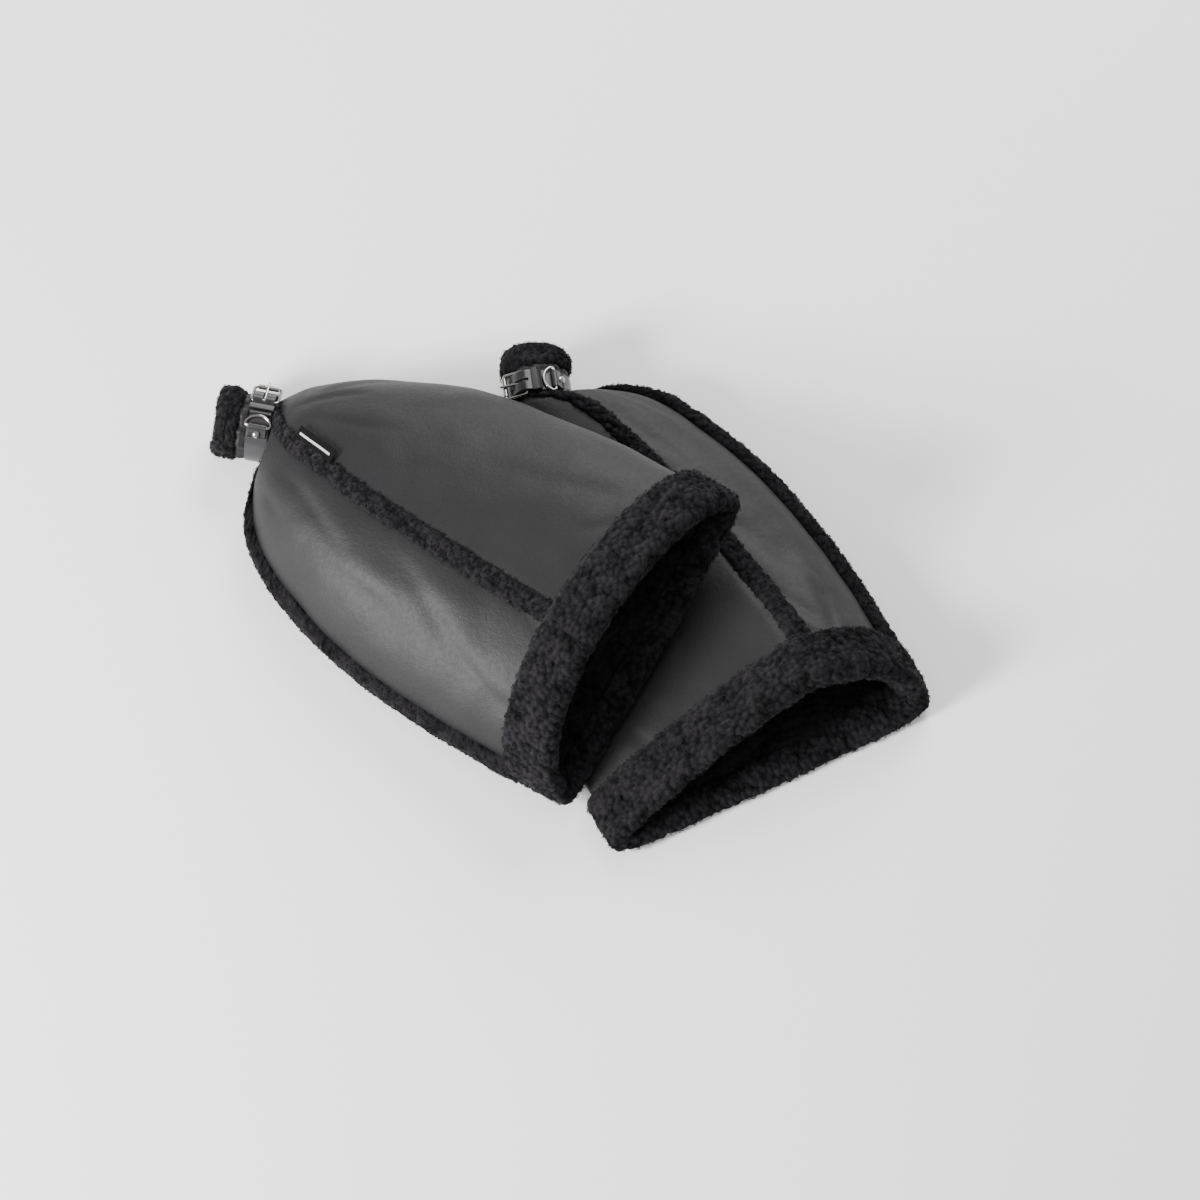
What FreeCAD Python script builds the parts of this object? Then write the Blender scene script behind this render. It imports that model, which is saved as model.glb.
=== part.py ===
# A pair of winter muffs for the two ends of a cycle handlebar.
#
# Each muff is a sewn bag.  Its back half ends in a round neck that a belt closes on the handlebar,
# and its front is a wide mouth that a hand goes into.  One side of the bag is a fold in the leather
# cloth, the other side is a curved seam with a fleece edge.  The two muffs mirror each other.  They
# lie as a pair: the right muff flat on the ground, the left muff with its fold side resting on it.
#
# Row frame: +Z up, +X and +Y level, origin under the centre of the pair.
# Muff frame: x along the bag from neck to mouth, y towards the fold side, z up.
# Neck frame: x towards the fold side, y up, z along the neck.
import FreeCAD, Part
import Sketcher
import math
import os
from collections import namedtuple
from FreeCAD import Matrix, Placement, Rotation, Vector

SIZES = [
    ("neck_radius", 21.6, "outside of the leather neck"),
    ("neck_bore", 16.0, "inside of the neck lining, round the handlebar grip"),
    ("neck_height", 27.0, "axis of the neck above the ground"),
    ("neck_angle", 20.0, "neck axis from the bag axis, towards the fold"),
    ("neck_length", 36.0, "collar end to the start of the bag"),
    ("collar_radius", 25.8, "outside of the fleece collar"),
    ("collar_length", 16.0, "length of the fleece collar"),
    ("collar_overhang", 7.0, "what the collar stands out past the end of the neck"),
    ("leather_thickness", 1.4, "coated cloth"),
    ("layer_gap", 0.2, "between two sewn layers"),
    ("sole_gap", 0.6, "the same between the leather and the fleece underneath"),
    ("cuff_gap", 1.0, "between the leather and the fleece turned back over it"),
    ("pile_thickness", 6.4, "fleece lining"),
    ("strip_height", 3.0, "fleece that stands out of the centre seam"),
    ("strip_half_width", 5.5, "half the width of that strip at the neck"),
    ("strip_half_growth", 3.5, "what its half width gains up to the cuff"),
    ("label_from_seam", 3.0, "near edge of the woven label from the centre seam"),
    ("label_width", 10.0, "woven label, across the bag"),
    ("label_rest", 3.2, "underside of the label above the leather: it lies on the seam's fleece"),
    ("label_height", 3.9, "top of the label above the leather"),
    ("trim_height", 7.0, "fleece that stands out of the curved seam"),
    ("trim_half_width", 5.5, "half the width of that fleece edge"),
    ("cuff_height", 8.0, "turned-back fleece above the leather"),
    ("cuff_sole", 3.3, "the same on the underside"),
    ("strap_width", 16.0, "belt"),
    ("strap_thickness", 1.4, "belt leather"),
    ("belt_place", 26.0, "middle of the belt from the end of the neck"),
    ("belt_bore", 22.9, "inside of the belt"),
    ("wire_radius", 1.2, "buckle wire"),
    ("running_gap", 0.08, "radial gap of a loose fit on a wire"),
    ("frame_length", 16.4, "buckle, middle of bar to middle of far end"),
    ("frame_width", 19.4, "buckle, middle of one side to middle of the other"),
    ("frame_corner", 2.2, "bend of the buckle wire"),
    ("roller_radius", 1.9, "outside of the buckle roller"),
    ("roller_length", 14.4, "buckle roller"),
    ("prong_radius", 0.9, "buckle prong"),
    ("prong_reach", 18.6, "prong, bar to tip"),
    ("prong_eye_radius", 2.2, "outside of the prong's eye"),
    ("prong_eye_width", 2.4, "width of the prong's eye"),
    ("ring_wire_radius", 1.0, "D-ring wire"),
    ("ring_depth", 8.6, "D-ring, straight side to top of the arc"),
    ("ring_width", 19.0, "D-ring, along the straight side"),
    ("ring_corner", 2.4, "bend beside the straight side"),
    ("tab_thickness", 1.0, "leather loop that holds the D-ring"),
    ("tab_width", 13.0, "the same loop, along the neck"),
    ("keeper_wall", 0.7, "leather keeper loop"),
    ("keeper_angle", 8.0, "length of the keeper round the neck, degrees"),
    ("rivet_radius", 1.0, "rivet shank"),
    ("rivet_head", 2.6, "rivet head radius"),
]

# Angles round the neck, in degrees from the fold side, over the top.
BAR_ANGLE = 68.0
KEEPER_ANGLE = 84.0
TIP_ANGLE = 95.0
RING_ANGLE = 117.0
RING_TILT = 12.0
RIVET_ANGLE = 129.0
PRONG_TILT = math.degrees(math.atan2(2.86, 16.4))

# One cross-section of the bag.  curved and fold are the ends of the section in plan, base, level
# and top are heights: the underside, the widest place and the crest.  crest is the share of the
# width from the curved edge to the crest.  The powers say how square the shape is, setback is how
# far the top lies behind the underside, and roll turns the section about its curved edge.
Station = namedtuple("Station", "curved_x curved_y fold_x fold_y base level floor_power setback "
                                "top crest fold_power roll")

PLAN = [
    (42, -20, 31, 50, 4.5, 25.0, 2.1, 0),
    (50, -41, 39, 62, 3.5, 21.0, 2.4, 0),
    (68, -62, 58, 77, 2.0, 17.5, 3.0, 0),
    (98, -79, 94, 97, 0.2, 14.0, 3.5, 2),
    (145, -96, 142, 113, 0.1, 12.5, 4.0, 5),
    (200, -107, 200, 122, 0.1, 12.0, 4.0, 9),
    (258, -112, 258, 126, 0.3, 12.5, 4.0, 15),
    (315, -113, 315, 127, 3.2, 12.8, 4.0, 22),
    (366, -112, 366, 126, 3.9, 13.2, 4.0, 28),
    (400, -111, 400, 125, 4.4, 14.0, 4.0, 31),
]
LEFT_TOPS = [
    (54, 0.49, 2.00, 1.0),
    (60, 0.47, 1.95, 3.0),
    (67, 0.45, 1.90, 5.5),
    (73, 0.43, 1.85, 8.5),
    (76, 0.42, 1.80, 12.0),
    (76, 0.42, 1.75, 14.5),
    (77, 0.42, 1.75, 17.0),
    (78, 0.42, 1.75, 19.0),
    (78, 0.42, 1.75, 20.5),
    (78, 0.42, 1.75, 21.0),
]
RIGHT_TOPS = [
    (50, 0.47, 1.90, 0),
    (51, 0.44, 1.70, 0),
    (52, 0.41, 1.50, 0),
    (53, 0.38, 1.35, 0),
    (54, 0.36, 1.25, 0),
    (56, 0.34, 1.22, 0),
    (59, 0.33, 1.20, 0),
    (62, 0.32, 1.20, 0),
    (66, 0.32, 1.20, 0),
    (68, 0.32, 1.20, 0),
]
# The underside of the left muff is pushed up where it lies on the right muff.
LEFT_LIFT = [0, 0, 0, 0, 0.5, 2, 4, 6.5, 8.5, 8.5]

# Places along the bag, counted in stations.
SEAM_START = 0.4
TRIM_START = 0.7
CUFF_START = 8.30
LEATHER_END = 8.86
CUFF_END = 9.16
LABEL_PLACES = [2.95, 3.35, 3.75, 4.15]
CURVE_POINTS = 20

Muff = namedtuple("Muff", "name origin heading side seam_start seam_end tops lift")
MUFFS = [
    Muff("left", Vector(-246.77, 135.955, 0), -32.0, 1, 0.0, 2.0, LEFT_TOPS, LEFT_LIFT),
    Muff("right", Vector(-16.77, 189.555, 0), -62.5, -1, 0.0, -15.0, RIGHT_TOPS, None),
]
NECK_END = (-2.4, 5.2)


# ---------------------------------------------------------------- document and sheet

doc = FreeCAD.newDocument("muffs")
sheet = doc.addObject("Spreadsheet::Sheet", "sizes")
for number, (alias, value, meaning) in enumerate(SIZES, start=1):
    sheet.set(f"A{number}", meaning)
    sheet.set(f"B{number}", str(value))
    sheet.setAlias(f"B{number}", alias)
doc.recompute()
subparts = []


def size(alias):
    return float(sheet.get(alias))


def keep(obj, name):
    """List an object as a sub-part and give it its name."""
    obj.Label = name
    subparts.append(obj)
    return obj


def feature(name, shape, placement=None):
    obj = doc.addObject("Part::Feature", name)
    obj.Shape = shape
    if placement is not None:
        obj.Placement = placement
    return keep(obj, name)


# ---------------------------------------------------------------- the bag's sections

def neck_edge(side):
    """The curved (-1) or fold (+1) edge of the neck, where the bag starts, in plan."""
    turn = math.radians(size("neck_angle"))
    along = size("neck_length")
    across = side * (size("neck_radius") + size("layer_gap"))
    x = NECK_END[0] + along * math.cos(turn) - across * math.sin(turn)
    y = NECK_END[1] + along * math.sin(turn) + across * math.cos(turn)
    return x, y


def stations(muff):
    centre = size("neck_height")
    radius = size("neck_radius") + size("layer_gap")
    rows = [Station(*neck_edge(-1), *neck_edge(1), centre - radius, centre, 2.0, 0,
                    centre + radius, 0.5, 2.0, 0)]
    for index, (plan, tops) in enumerate(zip(PLAN, muff.tops)):
        row = Station(*plan, *tops)
        if muff.lift is not None:
            lift = muff.lift[index]
            row = row._replace(base=row.base + lift, level=row.level + lift)
        rows.append(row)
    return rows


def station_at(rows, place):
    """A station between the listed ones, on a smooth curve through them."""
    index = min(max(int(place), 0), len(rows) - 2)
    part = place - index
    before = rows[max(index - 1, 0)]
    first = rows[index]
    second = rows[index + 1]
    after = rows[min(index + 2, len(rows) - 1)]
    values = []
    for a, b, c, d in zip(before, first, second, after):
        bend = 2 * a - 5 * b + 4 * c - d
        twist = 3 * b - a - 3 * c + d
        values.append(b + 0.5 * part * (c - a + part * (bend + part * twist)))
    return Station(*values)


def section_point(row, angle, offset=0.0, sole_offset=None):
    """A point of the section: angle 0 is the fold, 90 the crest, 180 the curved edge, 270 below."""
    width = math.hypot(row.fold_x - row.curved_x, row.fold_y - row.curved_y)
    along = ((row.fold_x - row.curved_x) / width, (row.fold_y - row.curved_y) / width)
    crest = row.crest * width
    cosine = round(math.cos(math.radians(angle)), 12)
    sine = round(math.sin(math.radians(angle)), 12)
    below = offset if sole_offset is None else sole_offset
    reach = (width - crest if cosine >= 0 else crest) + offset
    rise = row.top - row.level + offset if sine >= 0 else row.level - row.base + below
    power = row.floor_power if sine < 0 else (row.fold_power if cosine >= 0 else 2.0)
    across = crest + reach * math.copysign(abs(cosine) ** (2 / power), cosine)
    height = row.level + rise * math.copysign(abs(sine) ** (2 / power), sine)
    back = row.setback * (height - row.base) / (row.top - row.base)
    roll = math.radians(row.roll)
    flat = across * math.cos(roll) - height * math.sin(roll)
    lifted = across * math.sin(roll) + height * math.cos(roll)
    x = row.curved_x + flat * along[0] - back * along[1]
    y = row.curved_y + flat * along[1] + back * along[0]
    return Vector(x, y, lifted)


def angle_beside_crest(row, across):
    """The angle of the point this far from the crest: positive towards the fold."""
    width = math.hypot(row.fold_x - row.curved_x, row.fold_y - row.curved_y)
    if across >= 0:
        reach = (1 - row.crest) * width
        return math.degrees(math.acos((across / reach) ** (row.fold_power / 2)))
    reach = row.crest * width
    return 180 - math.degrees(math.acos(-across / reach))


def seam_across(muff, place):
    """The centre seam from the crest, which drifts along the bag."""
    share = place / CUFF_START
    return muff.seam_start + (muff.seam_end - muff.seam_start) * share


# ---------------------------------------------------------------- thin lofted pieces

def spline(points):
    curve = Part.BSplineCurve()
    curve.interpolate(points)
    return curve.toShape()


def spread(start, end, count):
    return [start + (end - start) * number / (count - 1) for number in range(count)]


def section_curve(row, start, end, offset, sole_offset=None):
    """A smooth curve along the section, through points at nearly even distances."""
    angles = spread(start, end, 181)
    fine = [section_point(row, angle, offset, sole_offset) for angle in angles]
    walked = [0.0]
    for first, second in zip(fine, fine[1:]):
        walked.append(walked[-1] + first.distanceToPoint(second))
    points = []
    step = 0
    for goal in spread(0.0, walked[-1], CURVE_POINTS):
        while step < len(fine) - 2 and walked[step + 1] < goal:
            step += 1
        share = (goal - walked[step]) / (walked[step + 1] - walked[step])
        angle = angles[step] + share * (angles[step + 1] - angles[step])
        points.append(section_point(row, angle, offset, sole_offset))
    return spline(points)


def solid_through(wires):
    """A closed solid with straight runs from each outline to the next."""
    solid = Part.makeLoft(wires, True, True)
    if solid.Volume < 0:
        solid.reverse()
    return solid


def band_wire(row, angles, outer, inner):
    """A closed thin outline: outer curve, end, inner curve, end.  angles lists its corners."""
    edges = []
    for start, end in zip(angles, angles[1:]):
        edges.append(section_curve(row, start, end, outer))
    edges.append(Part.LineSegment(section_point(row, angles[-1], outer),
                                  section_point(row, angles[-1], inner)).toShape())
    backwards = angles[::-1]
    for start, end in zip(backwards, backwards[1:]):
        edges.append(section_curve(row, start, end, inner))
    edges.append(Part.LineSegment(section_point(row, angles[0], inner),
                                  section_point(row, angles[0], outer)).toShape())
    return Part.Wire(edges)


def band(rows, places, angles_of, outer, inner):
    """A curved sheet along the bag between two offsets from its surface."""
    wires = []
    for place in places:
        row = station_at(rows, place)
        wires.append(band_wire(row, angles_of(row, place), outer, inner(place)))
    return solid_through(wires)


def tube(rows, places, offsets, sole_offsets):
    """A solid that fills the bag's section along some of its length."""
    wires = []
    for place, offset, sole in zip(places, offsets, sole_offsets):
        row = station_at(rows, place)
        spans = []
        for start, end in ((0, 180), (180, 330), (330, 360)):
            spans.append(section_curve(row, start, end, offset, sole))
        wires.append(Part.Wire(spans))
    return solid_through(wires)


def bag_places(start, end):
    """The stations between start and end, and the places halfway between them."""
    inner = [number / 2 for number in range(18) if start < number / 2 < end]
    return [start] + inner + [end]


def leather_inside(place):
    return -size("leather_thickness")


def fleece_back(place):
    """Fleece that lies on the leather starts this far above it."""
    return size("layer_gap")


def fold_panel(muff, rows):
    """The leather over the fold: it wraps a little way under the bag."""
    def angles(row, place):
        seam = angle_beside_crest(row, seam_across(muff, place) + size("layer_gap") / 2)
        return [-30, 0, seam]
    return band(rows, bag_places(0, LEATHER_END), angles, 0.0, leather_inside)


def curve_panel(muff, rows):
    """The leather from the centre seam down to the curved seam."""
    def angles(row, place):
        seam = angle_beside_crest(row, seam_across(muff, place) - size("layer_gap") / 2)
        return [seam, 150, 179.6]
    return band(rows, bag_places(0, LEATHER_END), angles, 0.0, leather_inside)


def under_panel(rows):
    """The leather underneath, nearly flat where the bag lies on the ground."""
    def angles(row, place):
        return [180.4, 329.3]
    return band(rows, bag_places(0, LEATHER_END), angles, 0.0, leather_inside)


def lining(rows, corners, gap):
    """Half of the fleece lining, thicker in the bag than at the neck, this far inside the leather."""
    outer = -size("leather_thickness") - gap
    neck_pile = size("neck_radius") + size("layer_gap") - size("neck_bore") + outer

    def inner(place):
        share = min(place / 3, 1.0)
        pile = neck_pile + (size("pile_thickness") - neck_pile) * share
        return outer - pile
    return band(rows, bag_places(0, LEATHER_END), lambda row, place: corners, outer, inner)


def centre_strip(muff, rows):
    """Fleece of the centre seam's allowance, which widens towards the cuff."""
    narrow = size("strip_half_width")
    wider = size("strip_half_growth")

    def angles(row, place):
        seam = seam_across(muff, place)
        half = narrow + wider * place / CUFF_START
        return [angle_beside_crest(row, seam + half), angle_beside_crest(row, seam - half)]
    places = bag_places(SEAM_START, CUFF_START - 0.02)
    return band(rows, places, angles, size("strip_height"), fleece_back)


def edge_trim(rows):
    """Fleece of the curved seam's allowance."""
    half = size("trim_half_width")

    def angles(row, place):
        above = math.degrees(math.asin(min(half / (row.top - row.level), 1)))
        share = (half / (row.level - row.base)) ** (row.floor_power / 2)
        below = math.degrees(math.asin(min(share, 0.5)))
        return [180 - above, 180 + below]
    places = bag_places(TRIM_START, CUFF_START - 0.02)
    return band(rows, places, angles, size("trim_height"), fleece_back)


def mouth_cuff(rows):
    """Fleece turned back over the mouth: a thick lip, and a sleeve over the leather's end."""
    high = size("cuff_height")
    sole = size("cuff_sole")
    gap = size("cuff_gap")
    wall = size("leather_thickness") + size("layer_gap") + size("pile_thickness")
    places = [CUFF_START, CUFF_START + 0.08, LEATHER_END, CUFF_END - 0.12, CUFF_END]
    outside = tube(rows, places, [high - 3, high, high, high, high - 3],
                   [sole - 1, sole, sole, sole, sole - 1])
    covered = bag_places(8, LEATHER_END + 0.01)
    opening = bag_places(8, LEATHER_END) + [CUFF_END, CUFF_END + 0.2]
    outside = outside.cut(tube(rows, covered, [gap] * len(covered), [gap] * len(covered)))
    return outside.cut(tube(rows, opening, [-wall] * len(opening), [-wall] * len(opening)))


def side_label(muff, rows):
    """A plain woven label beside the centre seam."""
    near = size("label_from_seam")
    far = near + size("label_width")

    def angles(row, place):
        seam = seam_across(muff, place)
        return [angle_beside_crest(row, seam + far), angle_beside_crest(row, seam + near)]
    return band(rows, LABEL_PLACES, angles, size("label_height"),
                lambda place: size("label_rest"))


# ---------------------------------------------------------------- placements

def muff_placement(muff):
    return Placement(muff.origin, Rotation(Vector(0, 0, 1), muff.heading))


def mirrored(muff, shape):
    """The right muff mirrors the left one across its own axis."""
    if muff.side > 0:
        return shape
    return shape.mirror(Vector(0, 0, 0), Vector(0, 1, 0))


def neck_placement(muff):
    """x towards the fold, y up, z along the neck: inwards on the left, outwards on the right."""
    heading = math.radians(muff.heading + muff.side * size("neck_angle"))
    inward = Vector(math.cos(heading), math.sin(heading), 0)
    up = Vector(0, 0, 1)
    fold = up.cross(inward) * muff.side
    along = fold.cross(up)
    end = muff_placement(muff).multVec(Vector(NECK_END[0], muff.side * NECK_END[1], 0))
    centre = end + inward * size("belt_place") + up * size("neck_height")
    grid = Matrix(fold.x, up.x, along.x, centre.x,
                  fold.y, up.y, along.y, centre.y,
                  fold.z, up.z, along.z, centre.z,
                  0, 0, 0, 1)
    return Placement(grid)


def round_neck(angle, radius, turn=0.0):
    """A place beside the neck: x along the tangent towards the fold, y outwards, z along."""
    radians = math.radians(angle)
    base = Vector(radius * math.cos(radians), radius * math.sin(radians), 0)
    return Placement(base, Rotation(Vector(0, 0, 1), angle - 90 + turn))


# ---------------------------------------------------------------- neck pieces, as bodies

def origin_plane(body, role):
    for plane in body.Origin.OriginFeatures:
        if plane.Role == role:
            return plane
    raise ValueError(role)


def new_sketch(body, name, role):
    sketch = body.newObject("Sketcher::SketchObject", name)
    sketch.AttachmentSupport = (origin_plane(body, role), [""])
    sketch.MapMode = "FlatFace"
    return sketch


def add_circle(sketch, radius_rule, start_radius):
    """A circle round the origin whose radius follows the sheet."""
    number = sketch.addGeometry(Part.Circle(Vector(), Vector(0, 0, 1), start_radius), False)
    sketch.addConstraint(Sketcher.Constraint("Coincident", number, 3, -1, 1))
    index = sketch.addConstraint(Sketcher.Constraint("Radius", number, start_radius))
    sketch.setExpression(f"Constraints[{index}]", radius_rule)
    return number


def ring_body(name, outer_rule, inner_rule, length_rule, outer, inner, placement, edge=None):
    """A round tube with its middle at the origin, padded along z."""
    body = doc.addObject("PartDesign::Body", name)
    sketch = new_sketch(body, name + "_outline", "XY_Plane")
    add_circle(sketch, outer_rule, outer)
    add_circle(sketch, inner_rule, inner)
    pad = body.newObject("PartDesign::Pad", name + "_pad")
    pad.Profile = sketch
    pad.Midplane = True
    pad.setExpression("Length", length_rule)
    doc.recompute()
    if edge is not None:
        rims = [f"Edge{number}" for number, item in enumerate(pad.Shape.Edges, start=1)
                if item.Curve.TypeId == "Part::GeomCircle" and item.Curve.Radius > inner + 1]
        fillet = body.newObject("PartDesign::Fillet", name + "_rims")
        fillet.Base = (pad, rims)
        fillet.Radius = edge
    body.Placement = placement
    return keep(body, name)


def neck_ring(muff, name, rules, radii, start, end, edge=None):
    """A tube round the neck between two distances from its end."""
    shift = Placement(Vector(0, 0, muff.side * ((start + end) / 2 - size("belt_place"))), Rotation())
    return ring_body(name, rules[0], rules[1], f"{end - start}", radii[0], radii[1],
                     neck_placement(muff) * shift, edge)


# ---------------------------------------------------------------- belt

def polar(angle, radius):
    radians = math.radians(angle)
    return Vector(radius * math.cos(radians), radius * math.sin(radians), 0)


def flat_band(points, thickness):
    """A face of even thickness along a smooth line of points."""
    curve = Part.BSplineCurve()
    curve.interpolate(points)
    count = 25
    left = []
    right = []
    for number in range(count):
        at = curve.FirstParameter + (curve.LastParameter - curve.FirstParameter) * number / (count - 1)
        point = curve.value(at)
        tangent = curve.tangent(at)[0]
        normal = Vector(-tangent.y, tangent.x, 0)
        left.append(point + normal * thickness / 2)
        right.append(point - normal * thickness / 2)
    edges = [spline(left),
             Part.LineSegment(left[-1], right[-1]).toShape(),
             spline(right[::-1]),
             Part.LineSegment(right[0], left[0]).toShape()]
    return Part.Face(Part.Wire(edges))


def ring_sector(inner, outer, start, end):
    """A face between two arcs round the neck."""
    middle = (start + end) / 2
    edges = [Part.Arc(polar(start, outer), polar(middle, outer), polar(end, outer)).toShape(),
             Part.LineSegment(polar(end, outer), polar(end, inner)).toShape(),
             Part.Arc(polar(end, inner), polar(middle, inner), polar(start, inner)).toShape(),
             Part.LineSegment(polar(start, inner), polar(start, outer)).toShape()]
    return Part.Face(Part.Wire(edges))


def across_neck(face, width):
    """A flat outline made a strap's width deep, with its middle at z = 0."""
    solid = face.extrude(Vector(0, 0, width))
    solid.translate(Vector(0, 0, -width / 2))
    return solid


def bar_radius():
    """Distance of the buckle's bar from the neck's axis: it lies on the belt."""
    return size("belt_bore") + size("strap_thickness") + size("wire_radius") + size("running_gap")


def eye(radius, thickness, width):
    """A leather loop round a wire."""
    outer = Part.makeCylinder(radius + thickness, width, Vector(0, 0, -width / 2))
    return outer.cut(Part.makeCylinder(radius, width + 2, Vector(0, 0, -width / 2 - 1)))


def belt_strap():
    """One strap: folded round the buckle's bar, round the neck, under the roller and over the bar."""
    thickness = size("strap_thickness")
    width = size("strap_width")
    bore = size("belt_bore")
    middle = bore + thickness / 2
    loop = size("wire_radius") + size("running_gap")
    wrap = across_neck(ring_sector(bore, bore + thickness, BAR_ANGLE + 0.5, 358), width)
    turned = eye(loop, thickness, width)
    turned.Placement = round_neck(BAR_ANGLE, bar_radius())
    above_bar = bar_radius() + loop + thickness / 2
    lower = middle + thickness + 0.06
    back = flat_band([polar(BAR_ANGLE, above_bar), polar(BAR_ANGLE + 3.5, above_bar - 0.35),
                      polar(BAR_ANGLE + 9, lower + 0.25), polar(BAR_ANGLE + 13, lower),
                      polar(BAR_ANGLE + 20, lower)], thickness)
    over = above_bar + thickness + 0.15
    tail = flat_band([polar(-2.05, middle), polar(8, middle + 0.2), polar(20, middle + 1.1),
                      polar(34, middle + 2.6), polar(48, middle + 3.9),
                      polar(BAR_ANGLE - 6, over - 0.1), polar(BAR_ANGLE + 1, over),
                      polar(BAR_ANGLE + 7, over - 1.3), polar(BAR_ANGLE + 13, lower + thickness + 0.15),
                      polar(TIP_ANGLE, lower + thickness + 0.1)], thickness)
    strap = wrap.fuse([turned, across_neck(back, width), across_neck(tail, width)])
    return strap.removeSplitter().cut(prong_slots())


def prong_slots():
    """Room for the prong in the folded end and in the tail, and spare holes in the tail."""
    slot = Part.makeBox(6.6, 6.2, 3.2, Vector(-3.3, -3.1, -1.6))
    slot.Placement = round_neck(BAR_ANGLE, bar_radius())
    hole = Part.makeBox(13.4, 9.0, 2.4, Vector(-3.1, 1.2, -1.2))
    low = Part.makeBox(8.2, 6.0, 2.4, Vector(2.1, -2.6, -1.2))
    for box in (hole, low):
        box.Placement = round_neck(BAR_ANGLE, bar_radius())
    cutters = [slot, hole, low]
    for angle in (-14, -30, -46, -62):
        spare = Part.makeCylinder(1.1, 6, Vector(0, 0, 0), Vector(0, 1, 0))
        spare.Placement = round_neck(angle, size("belt_bore") - 2)
        cutters.append(spare)
    shank = Part.makeCylinder(size("rivet_radius"), 9, Vector(0, 0, 0), Vector(0, 1, 0))
    shank.Placement = round_neck(RIVET_ANGLE, size("belt_bore") - 2)
    cutters.append(shank)
    return cutters


def tab_radius():
    """Distance of the D-ring's straight side from the neck's axis."""
    belt_outside = size("belt_bore") + size("strap_thickness")
    return belt_outside + 0.1 + size("tab_thickness") + size("ring_wire_radius") + size("running_gap")


def ring_tab():
    """A short leather loop, riveted on the belt, that holds the D-ring."""
    thickness = size("tab_thickness")
    loop = size("ring_wire_radius") + size("running_gap")
    width = size("tab_width")
    low = size("belt_bore") + size("strap_thickness") + 0.1 + thickness / 2
    turned = eye(loop, thickness, width)
    turned.Placement = round_neck(RING_ANGLE, tab_radius())
    under = ring_sector(low - thickness / 2, low + thickness / 2, RING_ANGLE, RING_ANGLE + 18)
    top = tab_radius() + loop + thickness / 2
    over = flat_band([polar(RING_ANGLE, top), polar(RING_ANGLE + 4, top - 0.6),
                      polar(RING_ANGLE + 9, low + thickness + 0.2),
                      polar(RING_ANGLE + 18, low + thickness + 0.05)], thickness)
    tab = turned.fuse([across_neck(under, width), across_neck(over, width)]).removeSplitter()
    shank = Part.makeCylinder(size("rivet_radius"), 9, Vector(0, 0, 0), Vector(0, 1, 0))
    shank.Placement = round_neck(RIVET_ANGLE, size("belt_bore") - 2)
    return tab.cut(shank)


def tab_rivet():
    """A dome-headed rivet through the tab and the belt."""
    radius = size("rivet_radius")
    head = size("rivet_head")
    foot = size("belt_bore") + 0.1
    seat = size("belt_bore") + size("strap_thickness") + 0.1 + 2 * size("tab_thickness") + 0.85
    shank = Part.makeCylinder(radius, seat - foot + 0.3, Vector(0, 0, 0), Vector(0, 1, 0))
    ball = head * 1.9
    dome = Part.makeSphere(ball, Vector(0, seat - foot + 1.0 - ball, 0))
    plate = Part.makeCylinder(head, 1.1, Vector(0, seat - foot, 0), Vector(0, 1, 0))
    return shank.fuse(plate.common(dome)).removeSplitter()


def keeper(muff):
    """A closed leather loop round the belt and its tail, turned about the neck's axis."""
    name = muff.name + "_keeper"
    wall = size("keeper_wall")
    body = doc.addObject("PartDesign::Body", name)
    sketch = new_sketch(body, name + "_outline", "XZ_Plane")
    low = size("belt_bore") - 0.3
    high = size("belt_bore") + 3 * size("strap_thickness") + 0.75
    half = size("strap_width") / 2 + 0.3
    for grow in (wall, 0.0):
        corners = [Vector(low - grow, -half - grow, 0), Vector(high + grow, -half - grow, 0),
                   Vector(high + grow, half + grow, 0), Vector(low - grow, half + grow, 0)]
        first = sketch.GeometryCount
        for number in range(4):
            sketch.addGeometry(Part.LineSegment(corners[number], corners[(number + 1) % 4]), False)
        for number in range(4):
            following = first + (number + 1) % 4
            sketch.addConstraint(Sketcher.Constraint("Coincident", first + number, 2, following, 1))
            kind = "Horizontal" if number % 2 == 0 else "Vertical"
            sketch.addConstraint(Sketcher.Constraint(kind, first + number))
        span = sketch.addConstraint(Sketcher.Constraint("DistanceY", first + 1, 1, first + 1, 2,
                                                        2 * (half + grow)))
        wider = "2 * <<sizes>>.keeper_wall" if grow > 0 else "0"
        sketch.setExpression(f"Constraints[{span}]", f"<<sizes>>.strap_width + 0.6 + {wider}")
    turned = body.newObject("PartDesign::Revolution", name + "_turn")
    turned.Profile = sketch
    turned.ReferenceAxis = (sketch, ["V_Axis"])
    turned.Midplane = True
    turned.setExpression("Angle", "<<sizes>>.keeper_angle")
    turn = Rotation(Vector(0, 0, 1), KEEPER_ANGLE)
    body.Placement = neck_placement(muff) * Placement(Vector(), turn)
    return keep(body, name)


# ---------------------------------------------------------------- wire hardware

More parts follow.
